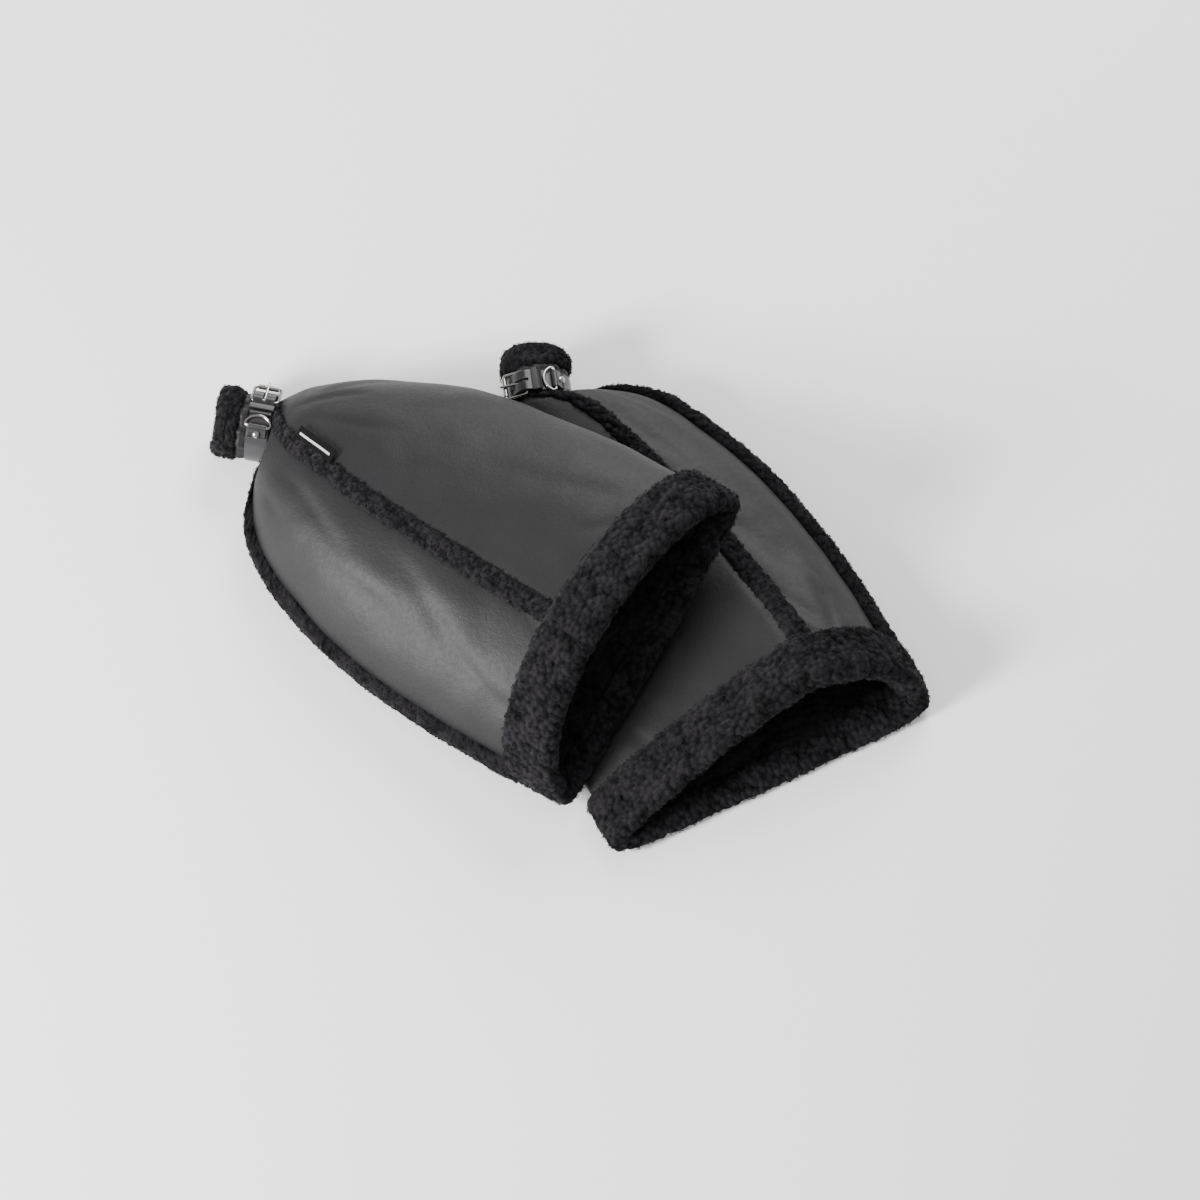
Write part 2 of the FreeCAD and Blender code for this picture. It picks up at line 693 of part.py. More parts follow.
def rounded_path(sketch, length, width, corner, rules):
    """A rounded rectangle from the origin along x, its middle line on the x axis."""
    half = width / 2
    lines = [((corner, -half), (length - corner, -half)),
             ((length, -half + corner), (length, half - corner)),
             ((length - corner, half), (corner, half)),
             ((0, half - corner), (0, -half + corner))]
    centres = [(length - corner, -half + corner, -90), (length - corner, half - corner, 0),
               (corner, half - corner, 90), (corner, -half + corner, 180)]
    for (x0, y0), (x1, y1) in lines:
        sketch.addGeometry(Part.LineSegment(Vector(x0, y0, 0), Vector(x1, y1, 0)), False)
    for x, y, start in centres:
        circle = Part.Circle(Vector(x, y, 0), Vector(0, 0, 1), corner)
        begin = math.radians(start)
        sketch.addGeometry(Part.ArcOfCircle(circle, begin, begin + math.pi / 2), False)
    for number in range(4):
        sketch.addConstraint(Sketcher.Constraint("Tangent", number, 2, 4 + number, 1))
        sketch.addConstraint(Sketcher.Constraint("Tangent", 4 + number, 2, (number + 1) % 4, 1))
    for kind, number in (("Horizontal", 0), ("Vertical", 1), ("Horizontal", 2)):
        sketch.addConstraint(Sketcher.Constraint(kind, number))
    for number in (5, 6, 7):
        sketch.addConstraint(Sketcher.Constraint("Equal", 4, number))
    sketch.addConstraint(Sketcher.Constraint("PointOnObject", 3, 1, -2))
    sketch.addConstraint(Sketcher.Constraint("Symmetric", 3, 1, 3, 2, -1))
    driven = [sketch.addConstraint(Sketcher.Constraint("Radius", 4, corner)),
              sketch.addConstraint(Sketcher.Constraint("DistanceX", 3, 1, 1, 1, length)),
              sketch.addConstraint(Sketcher.Constraint("DistanceY", 0, 1, 2, 2, width))]
    for index, rule in zip(driven, rules):
        sketch.setExpression(f"Constraints[{index}]", rule)


def buckle_frame(muff):
    """A closed loop of wire.  Its bar is the side at the origin."""
    name = muff.name + "_buckle_frame"
    body = doc.addObject("PartDesign::Body", name)
    path = new_sketch(body, name + "_path", "XZ_Plane")
    rounded_path(path, size("frame_length"), size("frame_width"), size("frame_corner"),
                 ["<<sizes>>.frame_corner", "<<sizes>>.frame_length", "<<sizes>>.frame_width"])
    wire = new_sketch(body, name + "_wire", "XY_Plane")
    add_circle(wire, "<<sizes>>.wire_radius", size("wire_radius"))
    doc.recompute()
    pipe = body.newObject("PartDesign::AdditivePipe", name + "_pipe")
    pipe.Profile = wire
    pipe.Spine = (path, [f"Edge{number}" for number in range(1, 9)])
    body.Placement = neck_placement(muff) * round_neck(BAR_ANGLE, bar_radius())
    return keep(body, name)


def buckle_roller(muff):
    """A loose tube on the buckle's far end."""
    far = Placement(Vector(size("frame_length"), 0, 0), Rotation())
    place = neck_placement(muff) * round_neck(BAR_ANGLE, bar_radius()) * far
    bore = size("wire_radius") + size("running_gap")
    return ring_body(muff.name + "_buckle_roller", "<<sizes>>.roller_radius",
                     "<<sizes>>.wire_radius + <<sizes>>.running_gap", "<<sizes>>.roller_length",
                     size("roller_radius"), bore, place)


def primitive(kind, name, rules, placement=None):
    """A Part primitive with its sizes on the sheet."""
    obj = doc.addObject(kind, name)
    for key, rule in rules.items():
        obj.setExpression(key, rule)
    if placement is not None:
        obj.Placement = placement
    return obj


def buckle_prong(muff):
    """A pin with an eye on the buckle's bar.  It rests on the roller."""
    name = muff.name + "_buckle_prong"
    half = Vector(0, 0, -size("prong_eye_width") / 2)
    ring = primitive("Part::Cylinder", name + "_eye",
                     {"Radius": "<<sizes>>.prong_eye_radius", "Height": "<<sizes>>.prong_eye_width"},
                     Placement(half, Rotation()))
    along = Placement(Vector(), Rotation(Vector(0, 1, 0), 90))
    start = Placement(Vector(1.6, 0, 0), Rotation())
    pin = primitive("Part::Cylinder", name + "_pin",
                    {"Radius": "<<sizes>>.prong_radius", "Height": "<<sizes>>.prong_reach - 1.6"},
                    start * along)
    tip = primitive("Part::Sphere", name + "_tip", {"Radius": "<<sizes>>.prong_radius"},
                    Placement(Vector(size("prong_reach"), 0, 0), Rotation()))
    joined = doc.addObject("Part::MultiFuse", name + "_joined")
    joined.Shapes = [ring, pin, tip]
    bore = primitive("Part::Cylinder", name + "_bore",
                     {"Radius": "<<sizes>>.wire_radius + <<sizes>>.running_gap", "Height": "8"},
                     Placement(Vector(0, 0, -4), Rotation()))
    cut = doc.addObject("Part::Cut", name)
    cut.Base = joined
    cut.Tool = bore
    tilt = Placement(Vector(), Rotation(Vector(0, 0, 1), PRONG_TILT))
    cut.Placement = neck_placement(muff) * round_neck(BAR_ANGLE, bar_radius()) * tilt
    return keep(cut, name)


def d_ring(muff):
    """A wire ring with one straight side, which the tab holds."""
    name = muff.name + "_d_ring"
    body = doc.addObject("PartDesign::Body", name)
    path = new_sketch(body, name + "_path", "XZ_Plane")
    corner = size("ring_corner")
    half = size("ring_width") / 2
    depth = size("ring_depth")
    shoulder = Vector(corner, half, 0)
    path.addGeometry(Part.LineSegment(Vector(0, half - corner, 0), Vector(0, corner - half, 0)), False)
    lower = Part.Circle(Vector(corner, corner - half, 0), Vector(0, 0, 1), corner)
    path.addGeometry(Part.ArcOfCircle(lower, math.pi, 1.5 * math.pi), False)
    rise = depth - corner
    bow = (half * half + rise * rise) / (2 * rise)
    centre = depth - bow
    swing = math.atan2(half, shoulder.x - centre)
    arc = Part.Circle(Vector(centre, 0, 0), Vector(0, 0, 1), bow)
    path.addGeometry(Part.ArcOfCircle(arc, -swing, swing), False)
    upper = Part.Circle(Vector(corner, half - corner, 0), Vector(0, 0, 1), corner)
    path.addGeometry(Part.ArcOfCircle(upper, 0.5 * math.pi, math.pi), False)
    path.addConstraint(Sketcher.Constraint("Coincident", 0, 2, 1, 1))
    path.addConstraint(Sketcher.Constraint("Coincident", 1, 2, 2, 1))
    path.addConstraint(Sketcher.Constraint("Coincident", 2, 2, 3, 1))
    path.addConstraint(Sketcher.Constraint("Coincident", 3, 2, 0, 1))
    wire = new_sketch(body, name + "_wire", "XY_Plane")
    add_circle(wire, "<<sizes>>.ring_wire_radius", size("ring_wire_radius"))
    doc.recompute()
    pipe = body.newObject("PartDesign::AdditivePipe", name + "_pipe")
    pipe.Profile = wire
    pipe.Spine = (path, [f"Edge{number}" for number in range(1, 5)])
    pipe.Transition = "Round corner"
    body.Placement = neck_placement(muff) * round_neck(RING_ANGLE, tab_radius(), -RING_TILT)
    return keep(body, name)


# ---------------------------------------------------------------- one muff

def build_muff(muff):
    rows = stations(muff)
    place = muff_placement(muff)
    sewn = {
        "fold_panel": fold_panel(muff, rows),
        "curve_panel": curve_panel(muff, rows),
        "under_panel": under_panel(rows),
        "lining_top": lining(rows, [0.3, 90, 179.7], size("layer_gap")),
        "lining_under": lining(rows, [180.4, 330, 359.7], size("sole_gap")),
        "center_seam_strip": centre_strip(muff, rows),
        "edge_trim": edge_trim(rows),
        "mouth_cuff": mouth_cuff(rows),
    }
    if muff.name == "left":
        sewn["label"] = side_label(muff, rows)
    for name, shape in sewn.items():
        feature(f"{muff.name}_{name}", mirrored(muff, shape), place)

    gap = size("layer_gap")
    outside = "<<sizes>>.neck_radius"
    bore = "<<sizes>>.neck_bore"
    under_leather = outside + " - <<sizes>>.leather_thickness"
    back_of_pile = under_leather + " - <<sizes>>.layer_gap"
    leather_bore = size("neck_radius") - size("leather_thickness")
    collar_end = size("collar_length") - size("collar_overhang")
    neck_end = size("neck_length") - gap
    neck_ring(muff, f"{muff.name}_neck_sleeve", (outside, under_leather),
              (size("neck_radius"), leather_bore), collar_end + gap, neck_end)
    neck_ring(muff, f"{muff.name}_neck_lining", (back_of_pile, bore),
              (leather_bore - gap, size("neck_bore")), collar_end + gap, neck_end)
    neck_ring(muff, f"{muff.name}_neck_collar", ("<<sizes>>.collar_radius", bore),
              (size("collar_radius"), size("neck_bore")), -size("collar_overhang"), collar_end,
              edge=4.0)

    neck = neck_placement(muff)
    feature(f"{muff.name}_belt_strap", belt_strap(), neck)
    feature(f"{muff.name}_ring_tab", ring_tab(), neck)
    rivet_foot = round_neck(RIVET_ANGLE, size("belt_bore") + 0.1)
    feature(f"{muff.name}_tab_rivet", tab_rivet(), neck * rivet_foot)
    keeper(muff)
    buckle_frame(muff)
    buckle_roller(muff)
    buckle_prong(muff)
    d_ring(muff)


for each in MUFFS:
    build_muff(each)
doc.recompute()

# ---------------------------------------------------------------- checks and files

for obj in doc.Objects:
    if "Invalid" in obj.State or "Error" in obj.State:
        raise RuntimeError(f"{obj.Name} failed: {obj.State}")
for obj in subparts:
    if obj.Shape.isNull() or not obj.Shape.isValid() or not obj.Shape.Solids:
        raise RuntimeError(f"{obj.Label} has no valid shape")

os.makedirs("parts", exist_ok=True)
for obj in subparts:
    obj.Shape.exportStep(f"parts/{obj.Label}.step")
    box = obj.Shape.optimalBoundingBox()
    print(f"{obj.Label:28s} {len(obj.Shape.Solids)} solid {obj.Shape.Volume / 1000:8.2f} cm3 "
          f"x {box.XMin:7.1f} {box.XMax:7.1f} y {box.YMin:7.1f} {box.YMax:7.1f} "
          f"z {box.ZMin:6.2f} {box.ZMax:6.1f}")
whole = Part.makeCompound([obj.Shape for obj in subparts]).optimalBoundingBox()
print("pair", whole)
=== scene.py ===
import bpy
import bmesh
import math
import numpy as np
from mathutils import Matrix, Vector, noise


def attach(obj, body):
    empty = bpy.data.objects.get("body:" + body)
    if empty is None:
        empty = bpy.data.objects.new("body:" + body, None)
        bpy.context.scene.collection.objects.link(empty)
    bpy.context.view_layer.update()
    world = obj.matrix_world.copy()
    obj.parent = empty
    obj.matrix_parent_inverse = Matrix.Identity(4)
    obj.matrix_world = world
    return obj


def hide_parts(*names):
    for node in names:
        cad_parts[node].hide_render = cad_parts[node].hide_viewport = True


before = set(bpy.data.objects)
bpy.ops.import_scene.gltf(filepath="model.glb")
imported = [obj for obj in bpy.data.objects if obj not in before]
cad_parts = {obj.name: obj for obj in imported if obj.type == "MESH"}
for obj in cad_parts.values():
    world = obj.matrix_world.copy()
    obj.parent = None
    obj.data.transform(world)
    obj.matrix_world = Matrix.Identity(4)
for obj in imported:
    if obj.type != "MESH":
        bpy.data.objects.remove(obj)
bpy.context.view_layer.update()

MM = 0.001


# ================================================================ studio
# A matt white paper sheet on a table, under a small soft box low on the left and a large one high
# behind.  It is seen from high in front through a long lens, so the pair keeps its proportions.

CAMERA_ELEVATION = math.radians(61.2)
CAMERA_DISTANCE = 6.035
CAMERA_TARGET = Vector((0.0255, 0.009, 0.0))
LENS = 250
SENSOR = 36

camera_data = bpy.data.cameras.new("camera")
camera_data.lens = LENS
camera_data.sensor_width = SENSOR
camera = bpy.data.objects.new("camera", camera_data)
bpy.context.collection.objects.link(camera)
bpy.context.scene.camera = camera
towards = Vector((0, -math.cos(CAMERA_ELEVATION), math.sin(CAMERA_ELEVATION)))
camera.location = CAMERA_TARGET + towards * CAMERA_DISTANCE
camera.rotation_euler = (math.pi / 2 - CAMERA_ELEVATION, 0, 0)


def linear(code):
    """An sRGB hex colour as linear RGBA."""
    values = [int(code[i:i + 2], 16) / 255 for i in (1, 3, 5)]
    lin = [v / 12.92 if v <= 0.04045 else ((v + 0.055) / 1.055) ** 2.4 for v in values]
    return (*lin, 1.0)


def new_material(name):
    """A material with one principled shader; returns it, its tree and the shader."""
    material = bpy.data.materials.new(name)
    material.use_nodes = True
    return material, material.node_tree, material.node_tree.nodes["Principled BSDF"]


def soft_box(name, place, aim, width, power):
    """A square area light at a place, turned to an aim, with its width in metres and power in watts."""
    data = bpy.data.lights.new(name, "AREA")
    data.shape = "SQUARE"
    data.size = width
    data.energy = power
    box = bpy.data.objects.new(name, data)
    box.location = place
    box.rotation_euler = (Vector(aim) - Vector(place)).to_track_quat("-Z", "Y").to_euler()
    bpy.context.collection.objects.link(box)


soft_box("key_box", (-1.9, -1.0, 1.15), (-0.1, 0, 0.03), 0.7, 150)
soft_box("back_box", (0.5, 1.9, 1.5), (0, 0, 0.02), 1.3, 62)

world = bpy.data.worlds.new("studio_air")
bpy.context.scene.world = world
world.use_nodes = True
world.node_tree.nodes["Background"].inputs["Color"].default_value = linear("#ffffff")
world.node_tree.nodes["Background"].inputs["Strength"].default_value = 0.62

PAPER_REACH = 4
paper_corners = [(-PAPER_REACH, -PAPER_REACH, 0), (PAPER_REACH, -PAPER_REACH, 0),
                 (PAPER_REACH, PAPER_REACH, 0), (-PAPER_REACH, PAPER_REACH, 0)]
floor_mesh = bpy.data.meshes.new("floor")
floor_mesh.from_pydata(paper_corners, [], [(0, 1, 2, 3)])
floor = bpy.data.objects.new("floor", floor_mesh)
bpy.context.collection.objects.link(floor)
# matt uncoated paper: even white with no shine; a little light of its own stands for the bright room
paper, tree, shader = new_material("white_paper")
shader.inputs["Roughness"].default_value = 0.9
shader.inputs["Specular IOR Level"].default_value = 0.1
shader.inputs["Emission Color"].default_value = linear("#ffffff")
shader.inputs["Emission Strength"].default_value = 0.14
shader.inputs["Base Color"].default_value = linear("#f8f8f8")
floor.data.materials.append(paper)


# ================================================================ leather bag
# Soft coated leather cloth, 1.4 mm thick, cut as three panels and filled out by the fleece behind
# it.  It is gathered into pleats at the neck and falls into long soft folds towards the wide mouth,
# with a fold along one side and a seam along the other.

# The bag's cross-sections from neck to mouth, in millimetres: the curved edge and the fold edge in
# plan (x, y, x, y), the heights of the underside and of the widest level, how square the underside
# is, and how far the crest is set back.
PLAN = np.array([
    (42, -20, 31, 50, 4.5, 25.0, 2.1, 0),
    (50, -41, 39, 62, 3.5, 21.0, 2.4, 0),
    (68, -62, 58, 77, 2.0, 17.5, 3.0, 0),
    (98, -79, 94, 97, 0.2, 14.0, 3.5, 2),
    (145, -96, 142, 113, 0.1, 12.5, 4.0, 5),
    (200, -107, 200, 122, 0.1, 12.0, 4.0, 9),
    (258, -112, 258, 126, 0.3, 12.5, 4.0, 15),
    (315, -113, 315, 127, 3.2, 12.8, 4.0, 22),
    (366, -112, 366, 126, 3.9, 13.2, 4.0, 28),
    (400, -111, 400, 125, 4.4, 14.0, 4.0, 31),
])
# crest height, where the crest stands across the width, roundness on the fold side, roll in degrees
LEFT_TOPS = np.array([
    (54, 0.49, 2.00, 1.0), (60, 0.47, 1.95, 3.0), (67, 0.45, 1.90, 5.5), (73, 0.43, 1.85, 8.5),
    (76, 0.42, 1.80, 12.0), (76, 0.42, 1.75, 14.5), (77, 0.42, 1.75, 17.0), (78, 0.42, 1.75, 19.0),
    (78, 0.42, 1.75, 20.5), (78, 0.42, 1.75, 21.0),
])
RIGHT_TOPS = np.array([
    (50, 0.47, 1.90, 0), (51, 0.44, 1.70, 0), (52, 0.41, 1.50, 0), (53, 0.38, 1.35, 0),
    (54, 0.36, 1.25, 0), (56, 0.34, 1.22, 0), (59, 0.33, 1.20, 0), (62, 0.32, 1.20, 0),
    (66, 0.32, 1.20, 0), (68, 0.32, 1.20, 0),
])
# the left bag rises towards its mouth, where it lies on the right one
LEFT_LIFT = np.array([0, 0, 0, 0, 0.5, 2, 4, 6.5, 8.5, 8.5])
RIGHT_LIFT = np.zeros(10)
NECK_END = np.array((-2.4, 5.2))
NECK_TURN = math.radians(20)
NECK_LENGTH = 36.0
NECK_HEIGHT = 27.0
NECK_RADIUS = 21.8
# places along the bag, counted in cross-sections from the neck
CUFF_START = 8.30
LEATHER_END = 8.86
LEATHER = 1.4

# each muff's place, its turn in degrees, which way it is mirrored, how far its centre seam runs
# from the crest at neck and mouth, and how far its cuff is pulled out at the seam corner
MUFFS = {
    "left": {"origin": (-246.77, 135.955), "heading": -32.0, "side": 1, "seam": (0, 2),
             "tops": LEFT_TOPS, "lift": LEFT_LIFT, "corner": 0.0, "seed": 11},
    "right": {"origin": (-16.77, 189.555), "heading": -62.5, "side": -1, "seam": (0, -15),
              "tops": RIGHT_TOPS, "lift": RIGHT_LIFT, "corner": 4.0, "seed": 23},
}


def neck_edge(side):
    """The neck's curved (-1) or fold (+1) edge where the bag starts, in plan."""
    along = np.array((math.cos(NECK_TURN), math.sin(NECK_TURN)))
    across = np.array((-math.sin(NECK_TURN), math.cos(NECK_TURN)))
    return NECK_END + along * NECK_LENGTH + across * side * NECK_RADIUS


def bag_rows(muff):
    """All the cross-sections of one bag, with the round neck's as the first."""
    plan = PLAN.copy()
    plan[:, 4] += muff["lift"]
    plan[:, 5] += muff["lift"]
    neck = [*neck_edge(-1), *neck_edge(1), NECK_HEIGHT - NECK_RADIUS, NECK_HEIGHT, 2, 0,
            NECK_HEIGHT + NECK_RADIUS, 0.5, 2, 0]
    return np.vstack([neck, np.hstack([plan, muff["tops"]])])


for muff in MUFFS.values():
    muff["rows"] = bag_rows(muff)


def row_at(muff, place):
    """The cross-section at each place along the bag, on a smooth curve through the rows."""
    rows = muff["rows"]
    place = np.asarray(place, float)
    index = np.clip(place.astype(int), 0, len(rows) - 2)
    part = (place - index)[..., None]
    a = rows[np.maximum(index - 1, 0)]
    b = rows[index]
    c = rows[index + 1]
    d = rows[np.minimum(index + 2, len(rows) - 1)]
    return b + 0.5 * part * (c - a + part * (2 * a - 5 * b + 4 * c - d + part * (3 * b - a - 3 * c + d)))


def bag_point(muff, place, angle, offset=0.0, sole=None):
    """Points on the bag in its own frame: angle 0 is the fold, 90 the crest, 180 the curved edge."""
    row = row_at(muff, place)
    cx, cy, fx, fy, base, level, floor_power, setback, top, crest_share, fold_power, roll = \
        np.moveaxis(row, -1, 0)
    width = np.hypot(fx - cx, fy - cy)
    ax, ay = (fx - cx) / width, (fy - cy) / width
    crest = crest_share * width
    cosine = np.round(np.cos(np.radians(angle)), 9)
    sine = np.round(np.sin(np.radians(angle)), 9)
    below = offset if sole is None else sole
    reach = np.where(cosine >= 0, width - crest, crest) + offset
    rise = np.where(sine >= 0, top - level + offset, level - base + below)
    power = np.where(sine < 0, floor_power, np.where(cosine >= 0, fold_power, 2.0))
    across = crest + reach * np.sign(cosine) * np.abs(cosine) ** (2 / power)
    height = level + rise * np.sign(sine) * np.abs(sine) ** (2 / power)
    back = setback * (height - base) / (top - base)
    turn = np.radians(roll)
    flat = across * np.cos(turn) - height * np.sin(turn)
    lifted = across * np.sin(turn) + height * np.cos(turn)
    return np.stack([cx + flat * ax - back * ay, cy + flat * ay + back * ax, lifted], -1)


def placed(muff, points):
    """Points of a muff's own frame, in millimetres, as metres in the pair's frame."""
    turn = math.radians(muff["heading"])
    x = points[..., 0]
    y = points[..., 1] * muff["side"]
    return np.stack([muff["origin"][0] + x * math.cos(turn) - y * math.sin(turn),
                     muff["origin"][1] + x * math.sin(turn) + y * math.cos(turn),
                     points[..., 2]], -1) * MM


def beside_crest(muff, place, across):
    """The angle of the points this far from the crest, positive towards the fold."""
    row = row_at(muff, place)
    width = np.hypot(row[..., 2] - row[..., 0], row[..., 3] - row[..., 1])
    crest, power = row[..., 9], row[..., 10]
    across = np.broadcast_to(across, width.shape)
    fold = np.degrees(np.arccos((np.maximum(across, 0) / ((1 - crest) * width)) ** (power / 2)))
    curved = 180 - np.degrees(np.arccos(np.maximum(-across, 0) / (crest * width)))
    return np.where(across >= 0, fold, curved)


def seam_line(muff, place):
    """Where the centre seam runs, from the crest."""
    start, end = muff["seam"]
    return start + (end - start) * np.asarray(place) / CUFF_START


def even_angles(muff, places, start, end, count):
    """For each place, angles at even distances along the skin from start to end."""
    share = np.linspace(0, 1, 240)
    fine = start[:, None] + (end - start)[:, None] * share
    spread = np.broadcast_to(places[:, None], fine.shape)
    points = bag_point(muff, spread, fine)
    steps = np.linalg.norm(np.diff(points, axis=1), axis=2)
    walked = np.hstack([np.zeros((len(places), 1)), np.cumsum(steps, axis=1)])
    goals = np.linspace(0, 1, count)
    return np.array([np.interp(goals * walk[-1], walk, angles) for walk, angles in zip(walked, fine)])


def grid_object(name, grid, wrap_rows=False, wrap_columns=False, caps=False):
    """A mesh through a grid of points, optionally closed round either way or capped at its ends."""
    rows, columns = grid.shape[:2]
    number = np.arange(rows * columns).reshape(rows, columns)
    if wrap_rows:
        number = np.vstack([number, number[:1]])
    if wrap_columns:
        number = np.hstack([number, number[:, :1]])
    corners = np.stack([number[:-1, :-1], number[1:, :-1], number[1:, 1:], number[:-1, 1:]], -1)
    faces = corners.reshape(-1, 4).tolist()
    if caps:
        faces.append(number[0, :columns].tolist())
        faces.append(number[-1, :columns][::-1].tolist())
    mesh = bpy.data.meshes.new(name)
    mesh.from_pydata(grid.reshape(-1, 3).tolist(), [], faces)
    shape = bmesh.new()
    shape.from_mesh(mesh)
    bmesh.ops.recalc_face_normals(shape, faces=shape.faces)
    shape.to_mesh(mesh)
    shape.free()
    for polygon in mesh.polygons:
        polygon.use_smooth = True
    piece = bpy.data.objects.new(name, mesh)
    bpy.context.collection.objects.link(piece)
    return piece


def finish_piece(piece, side, material, nodes):
    """Gives a piece its material, ties it to its muff's body so that it moves with it, and hides the
    model's parts it takes the place of.
    """
    piece.data.materials.clear()
    piece.data.materials.append(material)
    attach(piece, side + "_muff")
    if nodes:
        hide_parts(*[f"{side}_{node}" for node in nodes])


def add_node(tree, kind, links=None, **settings):
    """Adds a shader or geometry node.  Settings are its properties, links its inputs' values."""
    node = tree.nodes.new(kind)
    for key, value in settings.items():
        setattr(node, key, value)
    for key, value in (links or {}).items():
        if isinstance(value, bpy.types.NodeSocket):
            tree.links.new(value, node.inputs[key])
        else:
            node.inputs[key].default_value = value
    return node


# coated leather cloth, rolled with a fine pebble grain: a soft broad sheen, broken up by the grain
# and by a faint crinkle, over a black that is a little uneven
leather, tree, shader = new_material("soft_coated_leather")
place_of = add_node(tree, "ShaderNodeTexCoord")
# pebble grain, cells of 1.2 mm (850 in a metre), drawn a little coarser than real so that it shows
grain = add_node(tree, "ShaderNodeTexVoronoi", {"Vector": place_of.outputs["Object"], "Scale": 850.0},
                 feature="F1")
crinkle = add_node(tree, "ShaderNodeTexNoise", {"Vector": place_of.outputs["Object"], "Scale": 260.0,
                                                "Detail": 6.0, "Roughness": 0.62})
cloud = add_node(tree, "ShaderNodeTexNoise", {"Vector": place_of.outputs["Object"], "Scale": 17.0,
                                              "Detail": 4.0})
tone = add_node(tree, "ShaderNodeValToRGB", {"Fac": cloud.outputs["Fac"]})
tone.color_ramp.elements[0].position = 0.32
tone.color_ramp.elements[0].color = linear("#0e0d0f")
tone.color_ramp.elements[1].position = 0.72
tone.color_ramp.elements[1].color = linear("#161517")
tree.links.new(tone.outputs["Color"], shader.inputs["Base Color"])
gloss = add_node(tree, "ShaderNodeMapRange", {"Value": crinkle.outputs["Fac"], "To Min": 0.50,
                                              "To Max": 0.66})
tree.links.new(gloss.outputs["Result"], shader.inputs["Roughness"])
shader.inputs["IOR"].default_value = 1.5
shader.inputs["Specular IOR Level"].default_value = 0.36
fine_bump = add_node(tree, "ShaderNodeBump", {"Strength": 0.35, "Distance": 0.0002,
                                              "Height": grain.outputs["Distance"]})
wide_bump = add_node(tree, "ShaderNodeBump", {"Strength": 0.45, "Distance": 0.0006,
                                              "Height": crinkle.outputs["Fac"],
                                              "Normal": fine_bump.outputs["Normal"]})
tree.links.new(wide_bump.outputs["Normal"], shader.inputs["Normal"])


# how far the pleats run, in cross-sections, and how deep they are
PLEAT_RUN = 0.9
PLEAT_DEPTH = 1.15


def pleats(muff, place, angle):
    """Pleats that start at the belt and die out in the bag, in millimetres."""
    rng = np.random.default_rng(muff["seed"])
    fade = np.exp(-(np.maximum(place, 0) / PLEAT_RUN) ** 1.4)
    turn = np.radians(angle)
    total = np.zeros_like(turn)
    for waves in (7, 11, 16, 23):
        swing = rng.uniform(0, 2 * math.pi)
        drift = rng.uniform(-0.9, 0.9)
        total += np.cos(waves * turn + swing + drift * place) * rng.uniform(0.6, 1.1) * 5 / waves
    return total * fade * PLEAT_DEPTH


def crease(x, y, start, end, width, depth):
    """One fold between two plan points: a soft ridge with a narrow valley beside it."""
    start, end = np.array(start, float), np.array(end, float)
    run = end - start
    length = np.hypot(*run)
    along = ((x - start[0]) * run[0] + (y - start[1]) * run[1]) / length
    across = ((y - start[1]) * run[0] - (x - start[0]) * run[1]) / length
    across = across + 2.5 * np.sin(along / length * 5 + start[0])
    window = np.clip(along / length, 0, 1)
    window = np.sin(np.pi * window) ** 0.8 * ((along > 0) & (along < length))
    ridge = np.exp(-((across - width * 0.8) / width) ** 2)
    valley = np.exp(-((across + width * 0.25) / (width * 0.5)) ** 2)
    return depth * window * (ridge - 0.9 * valley)


# (x, y, x, y, width, depth) of the folds that show most, in each muff's own frame
FOLDS = {
    "left": [(40, -30, 110, -72, 5, 1.3), (60, -25, 150, -60, 6, 1.1), (120, -62, 215, -92, 7, 1.3),
             (180, -50, 285, -96, 8, 1.4), (235, -30, 330, -60, 7, 1.0), (250, -88, 330, -104, 6, 1.2),
             (40, 25, 90, 62, 5, 1.3), (55, 18, 140, 40, 6, 0.9), (45, 45, 100, 85, 5, 1.2),
             (120, 60, 210, 104, 8, 1.0), (200, 40, 320, 70, 9, 0.9), (230, 100, 330, 84, 7, 1.1),
             (285, 20, 345, 60, 6, 0.9)],
    "right": [(42, -24, 105, -66, 5, 1.3), (60, -20, 150, -50, 6, 1.0), (130, -40, 215, -88, 8, 1.4),
              (190, -45, 270, -96, 8, 1.6), (240, -35, 322, -88, 7, 1.8), (275, -40, 345, -78, 6, 1.6),
              (215, -98, 330, -72, 6, 1.3), (300, -100, 345, -60, 5, 1.3),
              (40, 25, 90, 60, 5, 1.2), (60, 20, 160, 50, 7, 1.0), (150, 45, 260, 100, 8, 1.2),
              (240, 20, 340, 55, 8, 1.0), (260, 95, 345, 70, 6, 1.2)],
}


# the folds lie this much wider, and this much flatter, than listed
FOLD_SOFTNESS = 1.5
FOLD_SHARE = 0.75


def folds(side, points):
    """The height of all the long folds at points of a muff's own frame, in millimetres."""
    x, y = points[..., 0], points[..., 1]
    total = np.zeros(x.shape)
    for x0, y0, x1, y1, width, depth in FOLDS[side]:
        total += crease(x, y, (x0, y0), (x1, y1), width * FOLD_SOFTNESS, depth * FOLD_SHARE)
    return total


def slack(muff, points):
    """Small irregular unevenness of soft leather over fleece, in millimetres."""
    shift = Vector((muff["seed"], 0, 0))
    flat = points.reshape(-1, 3)
    values = [1.8 * noise.noise(Vector(p) * 0.016 + shift) + 0.7 * noise.noise(Vector(p) * 0.045 + shift)
              for p in flat]
    return np.array(values).reshape(points.shape[:-1])


# the leather of the right bag, which lies on the table, stays just above it
LEATHER_CLEARANCE = 0.05


